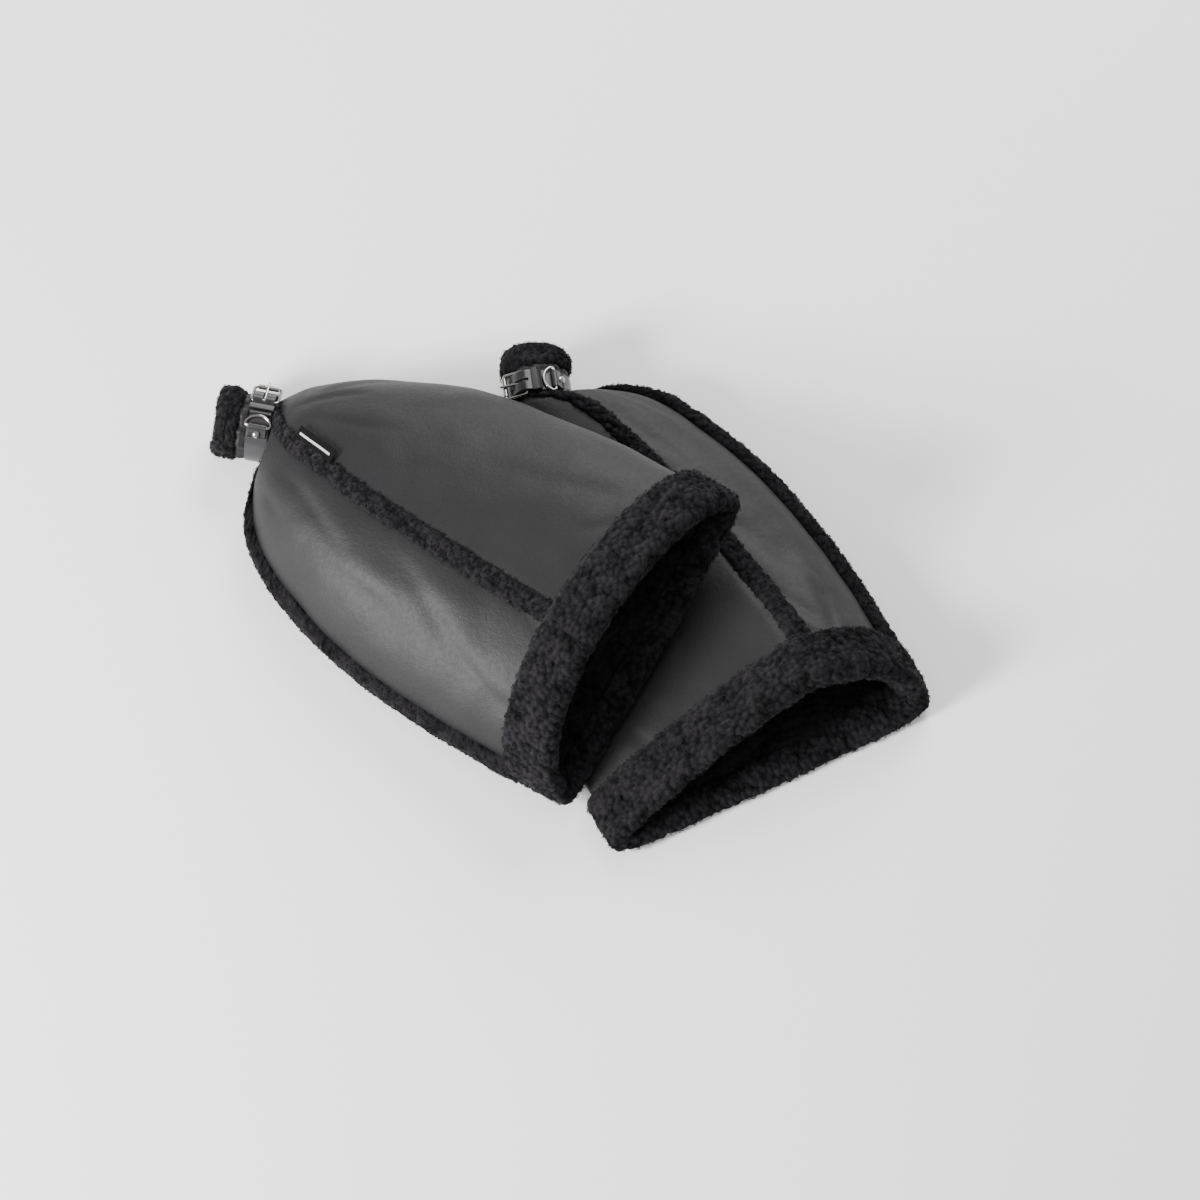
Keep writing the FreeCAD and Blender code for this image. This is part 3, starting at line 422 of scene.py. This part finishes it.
def leather_panel(side, name, start, end, columns, nodes, puff=2.0):
    """One panel of the bag: closed, with its real thickness, puffed out between its seams."""
    muff = MUFFS[side]
    # the rows lie closer together where the pleats are
    places = np.concatenate([np.linspace(0, 2, 54), np.linspace(2, LEATHER_END, 170)[1:]])
    angles = even_angles(muff, places, start(muff, places), end(muff, places), columns)
    spread = np.broadcast_to(places[:, None], angles.shape)
    skin = bag_point(muff, spread, angles)
    across = np.linspace(0, 1, columns)[None, :]
    sewn = np.clip(np.sin(np.pi * across), 0, 1) ** 0.5
    ends = np.clip((LEATHER_END - spread) / 0.5, 0, 1)
    neck = np.clip(spread / 1.2, 0, 1)
    out = puff * sewn * neck * ends + pleats(muff, spread, angles) * sewn ** 0.3
    out = out + (folds(side, skin) + slack(muff, skin)) * sewn ** 0.5 * neck * ends
    outer = bag_point(muff, spread, angles, out)
    if muff["side"] < 0:
        outer[..., 2] = np.maximum(outer[..., 2], LEATHER_CLEARANCE)
    piece = grid_object(f"{side}_{name}", placed(muff, outer))
    wall = piece.modifiers.new("thickness", "SOLIDIFY")
    wall.thickness = LEATHER * MM
    # the wall grows inwards from the outside, whichever way the grid runs
    middle = bag_point(muff, np.array([4.0]), np.array([90.0]), -20)[0]
    centre = Vector(placed(muff, middle[None])[0])
    sample = piece.data.polygons[len(piece.data.polygons) // 2]
    if sample.normal.dot(sample.center - centre) < 0:
        piece.data.flip_normals()
    wall.offset = -1
    finish_piece(piece, side, leather, nodes)


def steady(angle):
    """A panel's edge that keeps one angle all along the bag."""
    return lambda muff, places: np.full(len(places), float(angle))


def seam_edge(gap):
    """A panel's edge along the centre seam, this far from it towards the fold."""
    return lambda muff, places: beside_crest(muff, places, seam_line(muff, places) + gap)


SEAM_GAP = 0.1

for side in MUFFS:
    leather_panel(side, "fold_leather", steady(-30), seam_edge(SEAM_GAP), 110, ["fold_panel"])
    leather_panel(side, "curve_leather", seam_edge(-SEAM_GAP), steady(179.6), 90, ["curve_panel"])
    leather_panel(side, "under_leather", steady(180.4), steady(329.3), 60, ["under_panel"], puff=0.0)


# ================================================================ fleece
# Curly acrylic sherpa, about 6 mm deep: soft round nubs 3 to 4 mm across, each a knot of fine
# curled fibres.  It lines the bag, turns out over the mouth and shows at every seam.

# in millimetres: how deep the pile reaches below the bag's skin, its face in the lining, and the
# width of a nub on the bag, at the edges and at the neck; then the place where the cuff ends
PILE_INSIDE = 8.0
LINING_FACE = 0.8 - PILE_INSIDE
BAG_NUB = 4.2
EDGE_NUB = 3.8
NECK_NUB = 3.4
CUFF_END = 9.16

# curled acrylic pile: nearly no shine; painted shade, deep black, between the nubs and painted light, a
# soft grey, on their tops, with a finer random strand tone over it
fleece, tree, shader = new_material("curly_sherpa_fleece")
place_of = add_node(tree, "ShaderNodeTexCoord")
# how high each nub stands, which sets the painted shade between the nubs and the painted light on their
# tops
standing = add_node(tree, "ShaderNodeAttribute", attribute_name="nub", attribute_type="GEOMETRY")
strands = add_node(tree, "ShaderNodeTexNoise", {"Vector": place_of.outputs["Object"], "Scale": 900.0,
                                                "Detail": 5.0, "Roughness": 0.75, "Distortion": 1.6})
# random strand tone plus painted light that grows with the nub's height
strands_and_painted_nub_light = add_node(tree, "ShaderNodeMath", {0: strands.outputs["Fac"], 1: 0.35, 2: standing.outputs["Fac"]},
               operation="MULTIPLY_ADD")
pile_colour_with_painted_shade = add_node(tree, "ShaderNodeValToRGB", {"Fac": strands_and_painted_nub_light.outputs["Value"]})
pile_colour_with_painted_shade.color_ramp.elements[0].position = 0.25
pile_colour_with_painted_shade.color_ramp.elements[0].color = linear("#050505")
pile_colour_with_painted_shade.color_ramp.elements[1].position = 1.0
pile_colour_with_painted_shade.color_ramp.elements[1].color = linear("#1f1d20")
tree.links.new(pile_colour_with_painted_shade.outputs["Color"], shader.inputs["Base Color"])
shader.inputs["Roughness"].default_value = 0.95
shader.inputs["Specular IOR Level"].default_value = 0.1
shader.inputs["Sheen Weight"].default_value = 0.1
shader.inputs["Sheen Roughness"].default_value = 0.6
shader.inputs["Sheen Tint"].default_value = linear("#8d8a90")
depth = add_node(tree, "ShaderNodeBump", {"Strength": 0.9, "Distance": 0.0012,
                                          "Height": strands_and_painted_nub_light.outputs["Value"]})
tree.links.new(depth.outputs["Normal"], shader.inputs["Normal"])


# what the fleece lies on presses it flat
TABLE = 0.0002


def fluff(piece, height, nub, seed, amount=1.0):
    """Raises round nubs, with a loose clumping over them, along the mesh's normals.

    amount says how much of the height each point gets: none where the fleece lies on its backing.
    """
    mesh = piece.data
    count = len(mesh.vertices)
    places = np.empty(count * 3)
    normals = np.empty(count * 3)
    mesh.vertices.foreach_get("co", places)
    mesh.vertices.foreach_get("normal", normals)
    places = places.reshape(-1, 3)
    normals = normals.reshape(-1, 3)
    shift = Vector((seed * 3.7, 0, 0))
    rise = np.empty(count)
    for i, point in enumerate(places):
        spot = Vector(point) / nub + shift
        near = noise.voronoi(spot)[0][0]
        clump = noise.noise(spot * 0.33)
        rise[i] = max(0.0, 1 - near * 1.15) ** 0.6 + 0.5 * clump
    raised = places + normals * (rise * height * amount)[:, None]
    raised[:, 2] = np.maximum(raised[:, 2], TABLE)
    mesh.vertices.foreach_set("co", raised.ravel())
    # the rise is kept as the nub attribute, from which the fleece paints shade between the nubs and light
    # on their tops
    mesh.attributes.new("nub", "FLOAT", "POINT").data.foreach_set("value", np.clip(rise, 0, 1))
    mesh.update()


def fleece_loop(side, name, profile, amounts, columns, nub_height, nodes):
    """A closed ring of fleece round the bag: profile lists its (place, offset, sole offset)."""
    muff = MUFFS[side]
    first = profile[0]
    around = even_angles(muff, np.array([first[0]]), np.array([0.0]), np.array([360.0]), columns + 1)[0]
    rings = []
    # the right cuff is pulled out at its seam corner
    corner = muff["corner"] * np.clip(-np.cos(np.radians(around[:-1])), 0, 1) ** 6
    for place, offset, sole in profile:
        pulled = offset + corner * (place > CUFF_START) * (offset > LINING_FACE)
        rings.append(bag_point(muff, np.full(columns, place), around[:-1], pulled, sole))
    grid = placed(muff, np.array(rings))
    piece = grid_object(f"{side}_{name}", grid, wrap_rows=True, wrap_columns=True)
    fluff(piece, nub_height * MM, BAG_NUB * MM, muff["seed"], np.repeat(amounts, columns))
    finish_piece(piece, side, fleece, nodes)
    return piece


def smooth_path(corners, steps):
    """A rounded closed line through a few corners, by Catmull-Rom."""
    corners = np.array(corners, float)
    points = []
    total = len(corners)
    for i in range(total):
        a, b, c, d = (corners[(i + k - 1) % total] for k in range(4))
        for part in np.linspace(0, 1, steps[i], endpoint=False):
            points.append(b + 0.5 * part * (c - a + part * (2 * a - 5 * b + 4 * c - d
                                                            + part * (3 * b - a - 3 * c + d))))
    return points


def curl_tree():
    """Curled fibres scattered over a surface, each a short open coil lying at its own slant."""
    tree = bpy.data.node_groups.new("fleece_curls", "GeometryNodeTree")
    face = tree.interface
    face.new_socket("Surface", in_out="INPUT", socket_type="NodeSocketGeometry")
    face.new_socket("Spacing", in_out="INPUT", socket_type="NodeSocketFloat")
    face.new_socket("Coil radius", in_out="INPUT", socket_type="NodeSocketFloat")
    face.new_socket("Fibre radius", in_out="INPUT", socket_type="NodeSocketFloat")
    face.new_socket("Fleece", in_out="INPUT", socket_type="NodeSocketMaterial")
    face.new_socket("Curls", in_out="OUTPUT", socket_type="NodeSocketGeometry")
    given = add_node(tree, "NodeGroupInput").outputs
    area = add_node(tree, "ShaderNodeMath", {0: given["Spacing"], 1: given["Spacing"]},
                    operation="MULTIPLY")
    density = add_node(tree, "ShaderNodeMath", {0: 1.0, 1: area.outputs["Value"]}, operation="DIVIDE")
    scatter = add_node(tree, "GeometryNodeDistributePointsOnFaces",
                       {"Mesh": given["Surface"], "Density": density.outputs["Value"], "Seed": 5})
    coil = add_node(tree, "GeometryNodeCurveSpiral",
                    {"Resolution": 5, "Rotations": 1.25, "Start Radius": given["Coil radius"],
                     "End Radius": given["Coil radius"], "Height": given["Coil radius"]})
    section = add_node(tree, "GeometryNodeCurvePrimitiveCircle",
                       {"Resolution": 3, "Radius": given["Fibre radius"]}, mode="RADIUS")
    fibre = add_node(tree, "GeometryNodeCurveToMesh", {"Curve": coil.outputs["Curve"],
                                                       "Profile Curve": section.outputs["Curve"]})
    slant = add_node(tree, "FunctionNodeRandomValue", {"Min": (-1.4, -1.4, 0.0), "Max": (1.4, 1.4, 6.28),
                                                       "Seed": 8}, data_type="FLOAT_VECTOR")
    grow = add_node(tree, "FunctionNodeRandomValue", {2: 0.7, 3: 1.5, "Seed": 9}, data_type="FLOAT")
    spread = add_node(tree, "GeometryNodeInstanceOnPoints",
                      {"Points": scatter.outputs["Points"], "Instance": fibre.outputs["Mesh"],
                       "Rotation": scatter.outputs["Rotation"], "Scale": grow.outputs[1]})
    turned = add_node(tree, "GeometryNodeRotateInstances",
                      {"Instances": spread.outputs["Instances"], "Rotation": slant.outputs["Value"]})
    real = add_node(tree, "GeometryNodeRealizeInstances", {"Geometry": turned.outputs["Instances"]})
    # every curl gets one middle level of the fleece's painted nub light and shade
    height = add_node(tree, "GeometryNodeStoreNamedAttribute",
                      {"Geometry": real.outputs["Geometry"], "Name": "nub", "Value": 0.55})
    painted = add_node(tree, "GeometryNodeSetMaterial", {"Geometry": height.outputs["Geometry"],
                                                         "Material": given["Fleece"]})
    add_node(tree, "NodeGroupOutput", {"Curls": painted.outputs["Geometry"]})
    return tree


CURLS = curl_tree()
CURL_RADIUS = 0.95
SMALL_CURL_RADIUS = 0.8
FIBRE_RADIUS = 0.17


def made_by_nodes(source, name, tree, values):
    """Runs a node tree on a source object and returns its result as a plain mesh object."""
    modifier = source.modifiers.new("made", "NODES")
    modifier.node_group = tree
    for socket in tree.interface.items_tree:
        if socket.in_out == "INPUT" and socket.name in values:
            modifier[socket.identifier] = values[socket.name]
    graph = bpy.context.evaluated_depsgraph_get()
    mesh = bpy.data.meshes.new_from_object(source.evaluated_get(graph))
    source.modifiers.remove(modifier)
    mesh.name = name
    result = bpy.data.objects.new(name, mesh)
    bpy.context.collection.objects.link(result)
    return result


def curls_on(piece, side, spacing, coil=CURL_RADIUS):
    """The loose curls that stand out of a fleece piece and break up its outline."""
    curls = made_by_nodes(piece, piece.name + "_curls", CURLS,
                          {"Spacing": spacing * MM, "Coil radius": coil * MM,
                           "Fibre radius": FIBRE_RADIUS * MM, "Fleece": fleece})
    for point in curls.data.vertices:
        point.co.z = max(point.co.z, TABLE)
    finish_piece(curls, side, fleece, [])


for side in MUFFS:
    # the lining: inside face to the mouth, back along the leather
    inside = [(place, LINING_FACE) for place in np.linspace(LEATHER_END, 3, 190)]
    narrow = [(place, -5.6 - (PILE_INSIDE - 6.4) * place / 3) for place in np.linspace(3, 0, 24)[1:]]
    behind = [(place, -1.7) for place in np.linspace(0, LEATHER_END, 24)]
    amounts = [1.0] * len(inside) + [0.2] * len(narrow) + [0.0] * len(behind)
    fleece_loop(side, "fleece_lining", [(a, b, b) for a, b in inside + narrow + behind], amounts,
                290, 1.6, ["lining_top", "lining_under"])
    # the cuff: out over the leather, a full round lip, and in to meet the lining
    corners = [(CUFF_START, 0.6, 0.4), (CUFF_START + 0.03, 6.0, 1.8), (CUFF_START + 0.25, 7.6, 2.6),
               (LEATHER_END, 7.6, 2.6), (CUFF_END - 0.06, 6.4, 2.2), (CUFF_END, 1.0, -1.0),
               (CUFF_END - 0.08, -5.5, -6.0), (LEATHER_END - 0.05, -7.8, -7.8),
               (LEATHER_END - 0.02, -2.5, -2.5), (LEATHER_END - 0.01, 0.5, 0.5)]
    steps = [7, 9, 14, 14, 9, 9, 12, 6, 4, 8]
    amounts = [0.5] * 7 + [1.0] * 67 + [0.3] * 6 + [0.0] * 12
    cuff = fleece_loop(side, "fleece_cuff", smooth_path(corners, steps), amounts, 520, 2.2,
                       ["mouth_cuff"])
    curls_on(cuff, side, 3.6)


# ================================================================ seam fleece
# The fleece of the seam allowance, turned out: a flat strip along the centre seam that widens to
# the mouth, and a fuller rolled edge down the curved seam.

# in millimetres: gap to the leather, half width and height of the strip and of the rolled edge, how
# far the edge sits above the widest place, and how much fuller it is near the neck
BACKING_GAP = 0.25
STRIP_HALF_WIDTH = 5.0
STRIP_GROWTH = 3.3
STRIP_HEIGHT = 2.6
EDGE_HALF_WIDTH = 6.4
EDGE_HEIGHT = 10.4
EDGE_RISE = 5.5
EDGE_SWELL = 4.5


def fleece_run(side, name, places, centre, half_width, height, nodes, across=18):
    """Fleece along the bag: a mound of the given heights, half_width each side of centre."""
    muff = MUFFS[side]
    top = np.linspace(-1, 1, across)
    share = np.concatenate([top, top[::-1][1:-1]])
    mound = BACKING_GAP + height(places)[:, None] * (1 - np.abs(top) ** 4.0)[None, :]
    lift = np.hstack([mound, np.full((len(places), across - 2), BACKING_GAP)])
    amounts = np.concatenate([np.full(across, 1.0), np.zeros(across - 2)])
    low, high = centre(muff, places, half_width(places))
    angles = low[:, None] + (high - low)[:, None] * (share[None, :] + 1) / 2
    spread = np.broadcast_to(places[:, None], angles.shape)
    grid = placed(muff, bag_point(muff, spread, angles, lift))
    piece = grid_object(f"{side}_{name}", grid, wrap_columns=True, caps=True)
    fluff(piece, 1.7 * MM, EDGE_NUB * MM, muff["seed"] + 3, np.tile(amounts, len(places)))
    finish_piece(piece, side, fleece, nodes)
    curls_on(piece, side, 2.5, SMALL_CURL_RADIUS)


def beside_seam(muff, places, half):
    """The two edges of the strip that covers the centre seam."""
    middle = seam_line(muff, places)
    return beside_crest(muff, places, middle + half), beside_crest(muff, places, middle - half)


def beside_edge(muff, places, half):
    """The curved seam sits a little above the widest place, where the panel starts to turn under."""
    row = row_at(muff, places)
    above = np.degrees(np.arcsin(np.minimum((half + EDGE_RISE) / (row[:, 8] - row[:, 5]), 1)))
    below = np.degrees(np.arcsin(np.minimum((half - EDGE_RISE) / (row[:, 5] - row[:, 4]), 0.5)))
    return 180 - above, 180 + below


for side in MUFFS:
    fleece_run(side, "fleece_seam_strip", np.linspace(0.4, CUFF_START + 0.06, 260), beside_seam,
               lambda places: STRIP_HALF_WIDTH + STRIP_GROWTH * places / CUFF_START,
               lambda places: np.full(len(places), STRIP_HEIGHT), ["center_seam_strip"])
    fleece_run(side, "fleece_edge", np.linspace(0.5, CUFF_START + 0.06, 280), beside_edge,
               lambda places: np.full(len(places), EDGE_HALF_WIDTH),
               lambda places: EDGE_HEIGHT + EDGE_SWELL * np.exp(-((places - 1.6) / 1.6) ** 2),
               ["edge_trim"])


# ================================================================ neck
# A short round sleeve of the same leather, lined with thin fleece, ending in a fleece collar.

# distances from the neck's open end, in millimetres
SLEEVE_START = 9.3
SLEEVE_END = 36.3
BELT_PLACE = 26.0
BELT_HALF_WIDTH = 8.6
# radii, in millimetres, of the sleeve's two faces, the belt's inside, and the fleece's two faces
SLEEVE_OUTSIDE = 21.7
SLEEVE_INSIDE = 20.3
BELT_INSIDE = 22.6
FLEECE_BACK = 19.9
FLEECE_FACE = 16.4


def neck_frame(muff):
    """The middle of the neck's open end, the way along it into the bag, and the way to the fold."""
    heading = math.radians(muff["heading"] + muff["side"] * math.degrees(NECK_TURN))
    inward = np.array((math.cos(heading), math.sin(heading), 0))
    fold = np.cross((0, 0, 1), inward) * muff["side"]
    end = placed(muff, np.array([[NECK_END[0], NECK_END[1], NECK_HEIGHT]]))[0]
    return end, inward, fold


def neck_point(muff, along, angle, radius):
    """Points round the neck, in metres, from millimetres along it, degrees and a radius."""
    end, inward, fold = neck_frame(muff)
    turn = np.radians(angle)
    out = np.cos(turn)[..., None] * fold + np.sin(turn)[..., None] * np.array((0, 0, 1.0))
    return end + (np.asarray(along)[..., None] * inward + out * np.asarray(radius)[..., None]) * MM


def neck_tube(loop, columns):
    """A ring round the neck; loop lists (distance from the neck's end, radius)."""
    angles = np.linspace(0, 360, columns, endpoint=False)
    loop = np.array(loop, float)
    along = np.broadcast_to(loop[:, :1], (len(loop), columns))
    turn = np.broadcast_to(angles, along.shape)
    radius = np.broadcast_to(loop[:, 1:2], along.shape).copy()
    return along, turn, radius


for side, muff in MUFFS.items():
    outside = [(s, SLEEVE_OUTSIDE) for s in np.linspace(SLEEVE_START, SLEEVE_END, 44)]
    back = [(s, SLEEVE_INSIDE) for s in np.linspace(SLEEVE_END, SLEEVE_START, 16)]
    along, turn, radius = neck_tube(outside + back, 220)
    # the belt holds the sleeve in, and it bulges a little on each side of it
    hold = np.clip(1 - np.abs(along - BELT_PLACE) / 12, 0, 1) ** 0.7
    ease = pleats(muff, np.zeros_like(turn), turn) * (1 - 0.75 * hold)
    ends = np.clip((along - SLEEVE_START) / 3, 0, 1) * np.clip((SLEEVE_END - along) / 4, 0, 1)
    puffed = 1.6 * (1 - hold) * ends
    radius = radius + np.minimum(ease * 0.9, 1.1) + puffed
    under_belt = np.abs(along - BELT_PLACE) < BELT_HALF_WIDTH
    radius = np.where(under_belt, np.minimum(radius, BELT_INSIDE), radius)
    sleeve = grid_object(f"{side}_neck_leather", neck_point(muff, along, turn, radius),
                         wrap_rows=True, wrap_columns=True)
    finish_piece(sleeve, side, leather, ["neck_sleeve"])

    lined = [(s, FLEECE_FACE) for s in np.linspace(SLEEVE_START, SLEEVE_END, 24)]
    backed = [(s, FLEECE_BACK) for s in np.linspace(SLEEVE_END, SLEEVE_START, 10)]
    along, turn, radius = neck_tube(lined + backed, 110)
    lining = grid_object(f"{side}_neck_fleece", neck_point(muff, along, turn, radius),
                         wrap_rows=True, wrap_columns=True)
    fluff(lining, -0.4 * MM, NECK_NUB * MM, muff["seed"] + 5)
    finish_piece(lining, side, fleece, ["neck_lining"])

    # the collar's section, as distance from the open end and radius, round which it is a little uneven
    corners = [(9.2, 17.0), (9.6, 23.0), (6.5, 25.0), (1.0, 25.4), (-4.5, 24.2), (-6.6, 21.0), (-5.5, 17.6),
               (0.0, 16.6), (5.0, 16.6)]
    along, turn, radius = neck_tube(smooth_path(corners, [6, 5, 6, 6, 5, 5, 6, 5, 5]), 170)
    bend = np.radians(turn)
    uneven = 0.9 * np.cos(3 * bend + muff["seed"]) + 0.6 * np.cos(5 * bend + 2 * muff["seed"])
    radius = radius + uneven * np.clip((radius - 18) / 5, 0, 1) * np.clip((8 - along) / 4, 0, 1)
    along = along - 1.3 * np.cos(2 * bend + muff["seed"]) * (along < 2)
    collar = grid_object(f"{side}_fleece_collar", neck_point(muff, along, turn, radius),
                         wrap_rows=True, wrap_columns=True)
    fluff(collar, 1.2 * MM, NECK_NUB * MM, muff["seed"] + 7)
    finish_piece(collar, side, fleece, ["neck_collar"])
    curls_on(collar, side, 2.4, SMALL_CURL_RADIUS)


# ================================================================ belt and keeper
# A 16 mm strap of smooth finished leather with rubbed edges, with a riveted tab for the D-ring and
# a loop keeper of the same leather.

# finished bridle leather: a waxed shine that varies with rubbing, and edges worn a little paler
strap_leather, tree, shader = new_material("smooth_strap_leather")
place_of = add_node(tree, "ShaderNodeTexCoord")
# pores of 0.7 mm (1500 in a metre), drawn coarser than real so that they show
pores = add_node(tree, "ShaderNodeTexVoronoi", {"Vector": place_of.outputs["Object"], "Scale": 1500.0})
rub = add_node(tree, "ShaderNodeTexNoise", {"Vector": place_of.outputs["Object"], "Scale": 120.0,
                                            "Detail": 5.0})
edge = add_node(tree, "ShaderNodeNewGeometry")
worn = add_node(tree, "ShaderNodeMapRange", {"Value": edge.outputs["Pointiness"], "From Min": 0.5,
                                             "From Max": 0.6})
mixed = add_node(tree, "ShaderNodeMix", {"Factor": worn.outputs["Result"]}, data_type="RGBA")
shade = add_node(tree, "ShaderNodeValToRGB", {"Fac": rub.outputs["Fac"]})
shade.color_ramp.elements[0].color = linear("#0b0a0c")
shade.color_ramp.elements[1].color = linear("#1d1c1e")
tree.links.new(shade.outputs["Color"], mixed.inputs["A"])
mixed.inputs["B"].default_value = linear("#2c2a2d")
tree.links.new(mixed.outputs["Result"], shader.inputs["Base Color"])
wear = add_node(tree, "ShaderNodeMapRange", {"Value": rub.outputs["Fac"], "To Min": 0.24, "To Max": 0.42})
tree.links.new(wear.outputs["Result"], shader.inputs["Roughness"])
shader.inputs["IOR"].default_value = 1.52
skin_bump = add_node(tree, "ShaderNodeBump", {"Strength": 0.3, "Distance": 0.0001,
                                              "Height": pores.outputs["Distance"]})
tree.links.new(skin_bump.outputs["Normal"], shader.inputs["Normal"])

for side in MUFFS:
    for part in ("belt_strap", "ring_tab", "keeper"):
        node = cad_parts[f"{side}_{part}"]
        node.data.materials.clear()
        node.data.materials.append(strap_leather)


# ================================================================ buckle and D-ring
# Drawn steel wire, bent, welded and nickel plated: bright and slightly warm, with the fine
# unevenness that drawing and plating leave.

# nickel plate over drawn steel: a clear mirror-like shine, softened a little by fine unevenness
nickel, tree, shader = new_material("nickel_plated_wire")
place_of = add_node(tree, "ShaderNodeTexCoord")
drawn = add_node(tree, "ShaderNodeTexNoise", {"Vector": place_of.outputs["Object"], "Scale": 700.0,
                                              "Detail": 4.0})
haze = add_node(tree, "ShaderNodeMapRange", {"Value": drawn.outputs["Fac"], "To Min": 0.10, "To Max": 0.26})
tree.links.new(haze.outputs["Result"], shader.inputs["Roughness"])
stain = add_node(tree, "ShaderNodeTexNoise", {"Vector": place_of.outputs["Object"], "Scale": 90.0})
plate = add_node(tree, "ShaderNodeValToRGB", {"Fac": stain.outputs["Fac"]})
plate.color_ramp.elements[0].color = linear("#8f8c88")
plate.color_ramp.elements[1].color = linear("#b4b1ad")
tree.links.new(plate.outputs["Color"], shader.inputs["Base Color"])
shader.inputs["Metallic"].default_value = 1.0
ripple = add_node(tree, "ShaderNodeBump", {"Strength": 0.15, "Distance": 0.00005,
                                           "Height": drawn.outputs["Fac"]})
tree.links.new(ripple.outputs["Normal"], shader.inputs["Normal"])

for side in MUFFS:
    for part in ("buckle_frame", "buckle_roller", "buckle_prong", "d_ring", "tab_rivet"):
        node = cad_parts[f"{side}_{part}"]
        node.data.materials.clear()
        node.data.materials.append(nickel)


# ================================================================ label
# A plain black woven satin label lying beside the seam, with one pale woven stripe and no lettering.

# polyester satin, woven with fine ribs: flat black with next to no shine
woven, tree, shader = new_material("woven_satin_label")
place_of = add_node(tree, "ShaderNodeTexCoord")
# ribs of the weave, drawn at 0.4 mm, coarser than real, so that they show
ribs = add_node(tree, "ShaderNodeTexWave", {"Vector": place_of.outputs["Object"], "Scale": 800.0,
                                            "Distortion": 0.4}, bands_direction="DIAGONAL")
yarn = add_node(tree, "ShaderNodeValToRGB", {"Fac": ribs.outputs["Fac"]})
yarn.color_ramp.elements[0].color = linear("#060607")
yarn.color_ramp.elements[1].color = linear("#0e0e10")
tree.links.new(yarn.outputs["Color"], shader.inputs["Base Color"])
shader.inputs["Roughness"].default_value = 0.8
shader.inputs["Specular IOR Level"].default_value = 0.12
ribbing = add_node(tree, "ShaderNodeBump", {"Strength": 0.5, "Distance": 0.0002,
                                            "Height": ribs.outputs["Fac"]})
tree.links.new(ribbing.outputs["Normal"], shader.inputs["Normal"])

# the same yarn, undyed, for the stripe
pale_yarn, tree, shader = new_material("pale_label_yarn")
shader.inputs["Base Color"].default_value = linear("#b9b8b6")
shader.inputs["Roughness"].default_value = 0.7


# the label's two long edges, in millimetres from the seam, its height above the bag, how much
# higher its far edge stands, and its thickness
LABEL_NEAR = 3.2
LABEL_FAR = 12.8
LABEL_HEIGHT = 3.3
LABEL_SLOPE = 1.7
LABEL_THICKNESS = 0.55


def woven_sheet(name, start, end, near, far, rise, thick):
    """A closed strip on the left muff beside the seam, between two distances from it."""
    muff = MUFFS["left"]
    places = np.linspace(start, end, 60)
    seam = seam_line(muff, places)
    top = np.linspace(near, far, 18)
    drape = rise + LABEL_HEIGHT + LABEL_SLOPE * ((top - LABEL_NEAR) / (LABEL_FAR - LABEL_NEAR)) ** 0.8
    across = seam[:, None] + np.concatenate([top, top[::-1]])[None, :]
    spread = np.broadcast_to(places[:, None], across.shape)
    angles = beside_crest(muff, spread, across)
    lift = np.broadcast_to(np.concatenate([drape + thick, drape[::-1]]), across.shape)
    grid = placed(muff, bag_point(muff, spread, angles, lift))
    return grid_object(name, grid, wrap_columns=True, caps=True)


label = woven_sheet("left_woven_label", 2.95, 4.15, LABEL_NEAR, LABEL_FAR, 0, LABEL_THICKNESS)
finish_piece(label, "left", woven, ["label"])
stripe = woven_sheet("left_label_stripe", 3.05, 4.05, 7.0, 8.6, 0.5, 0.15)
finish_piece(stripe, "left", pale_yarn, [])
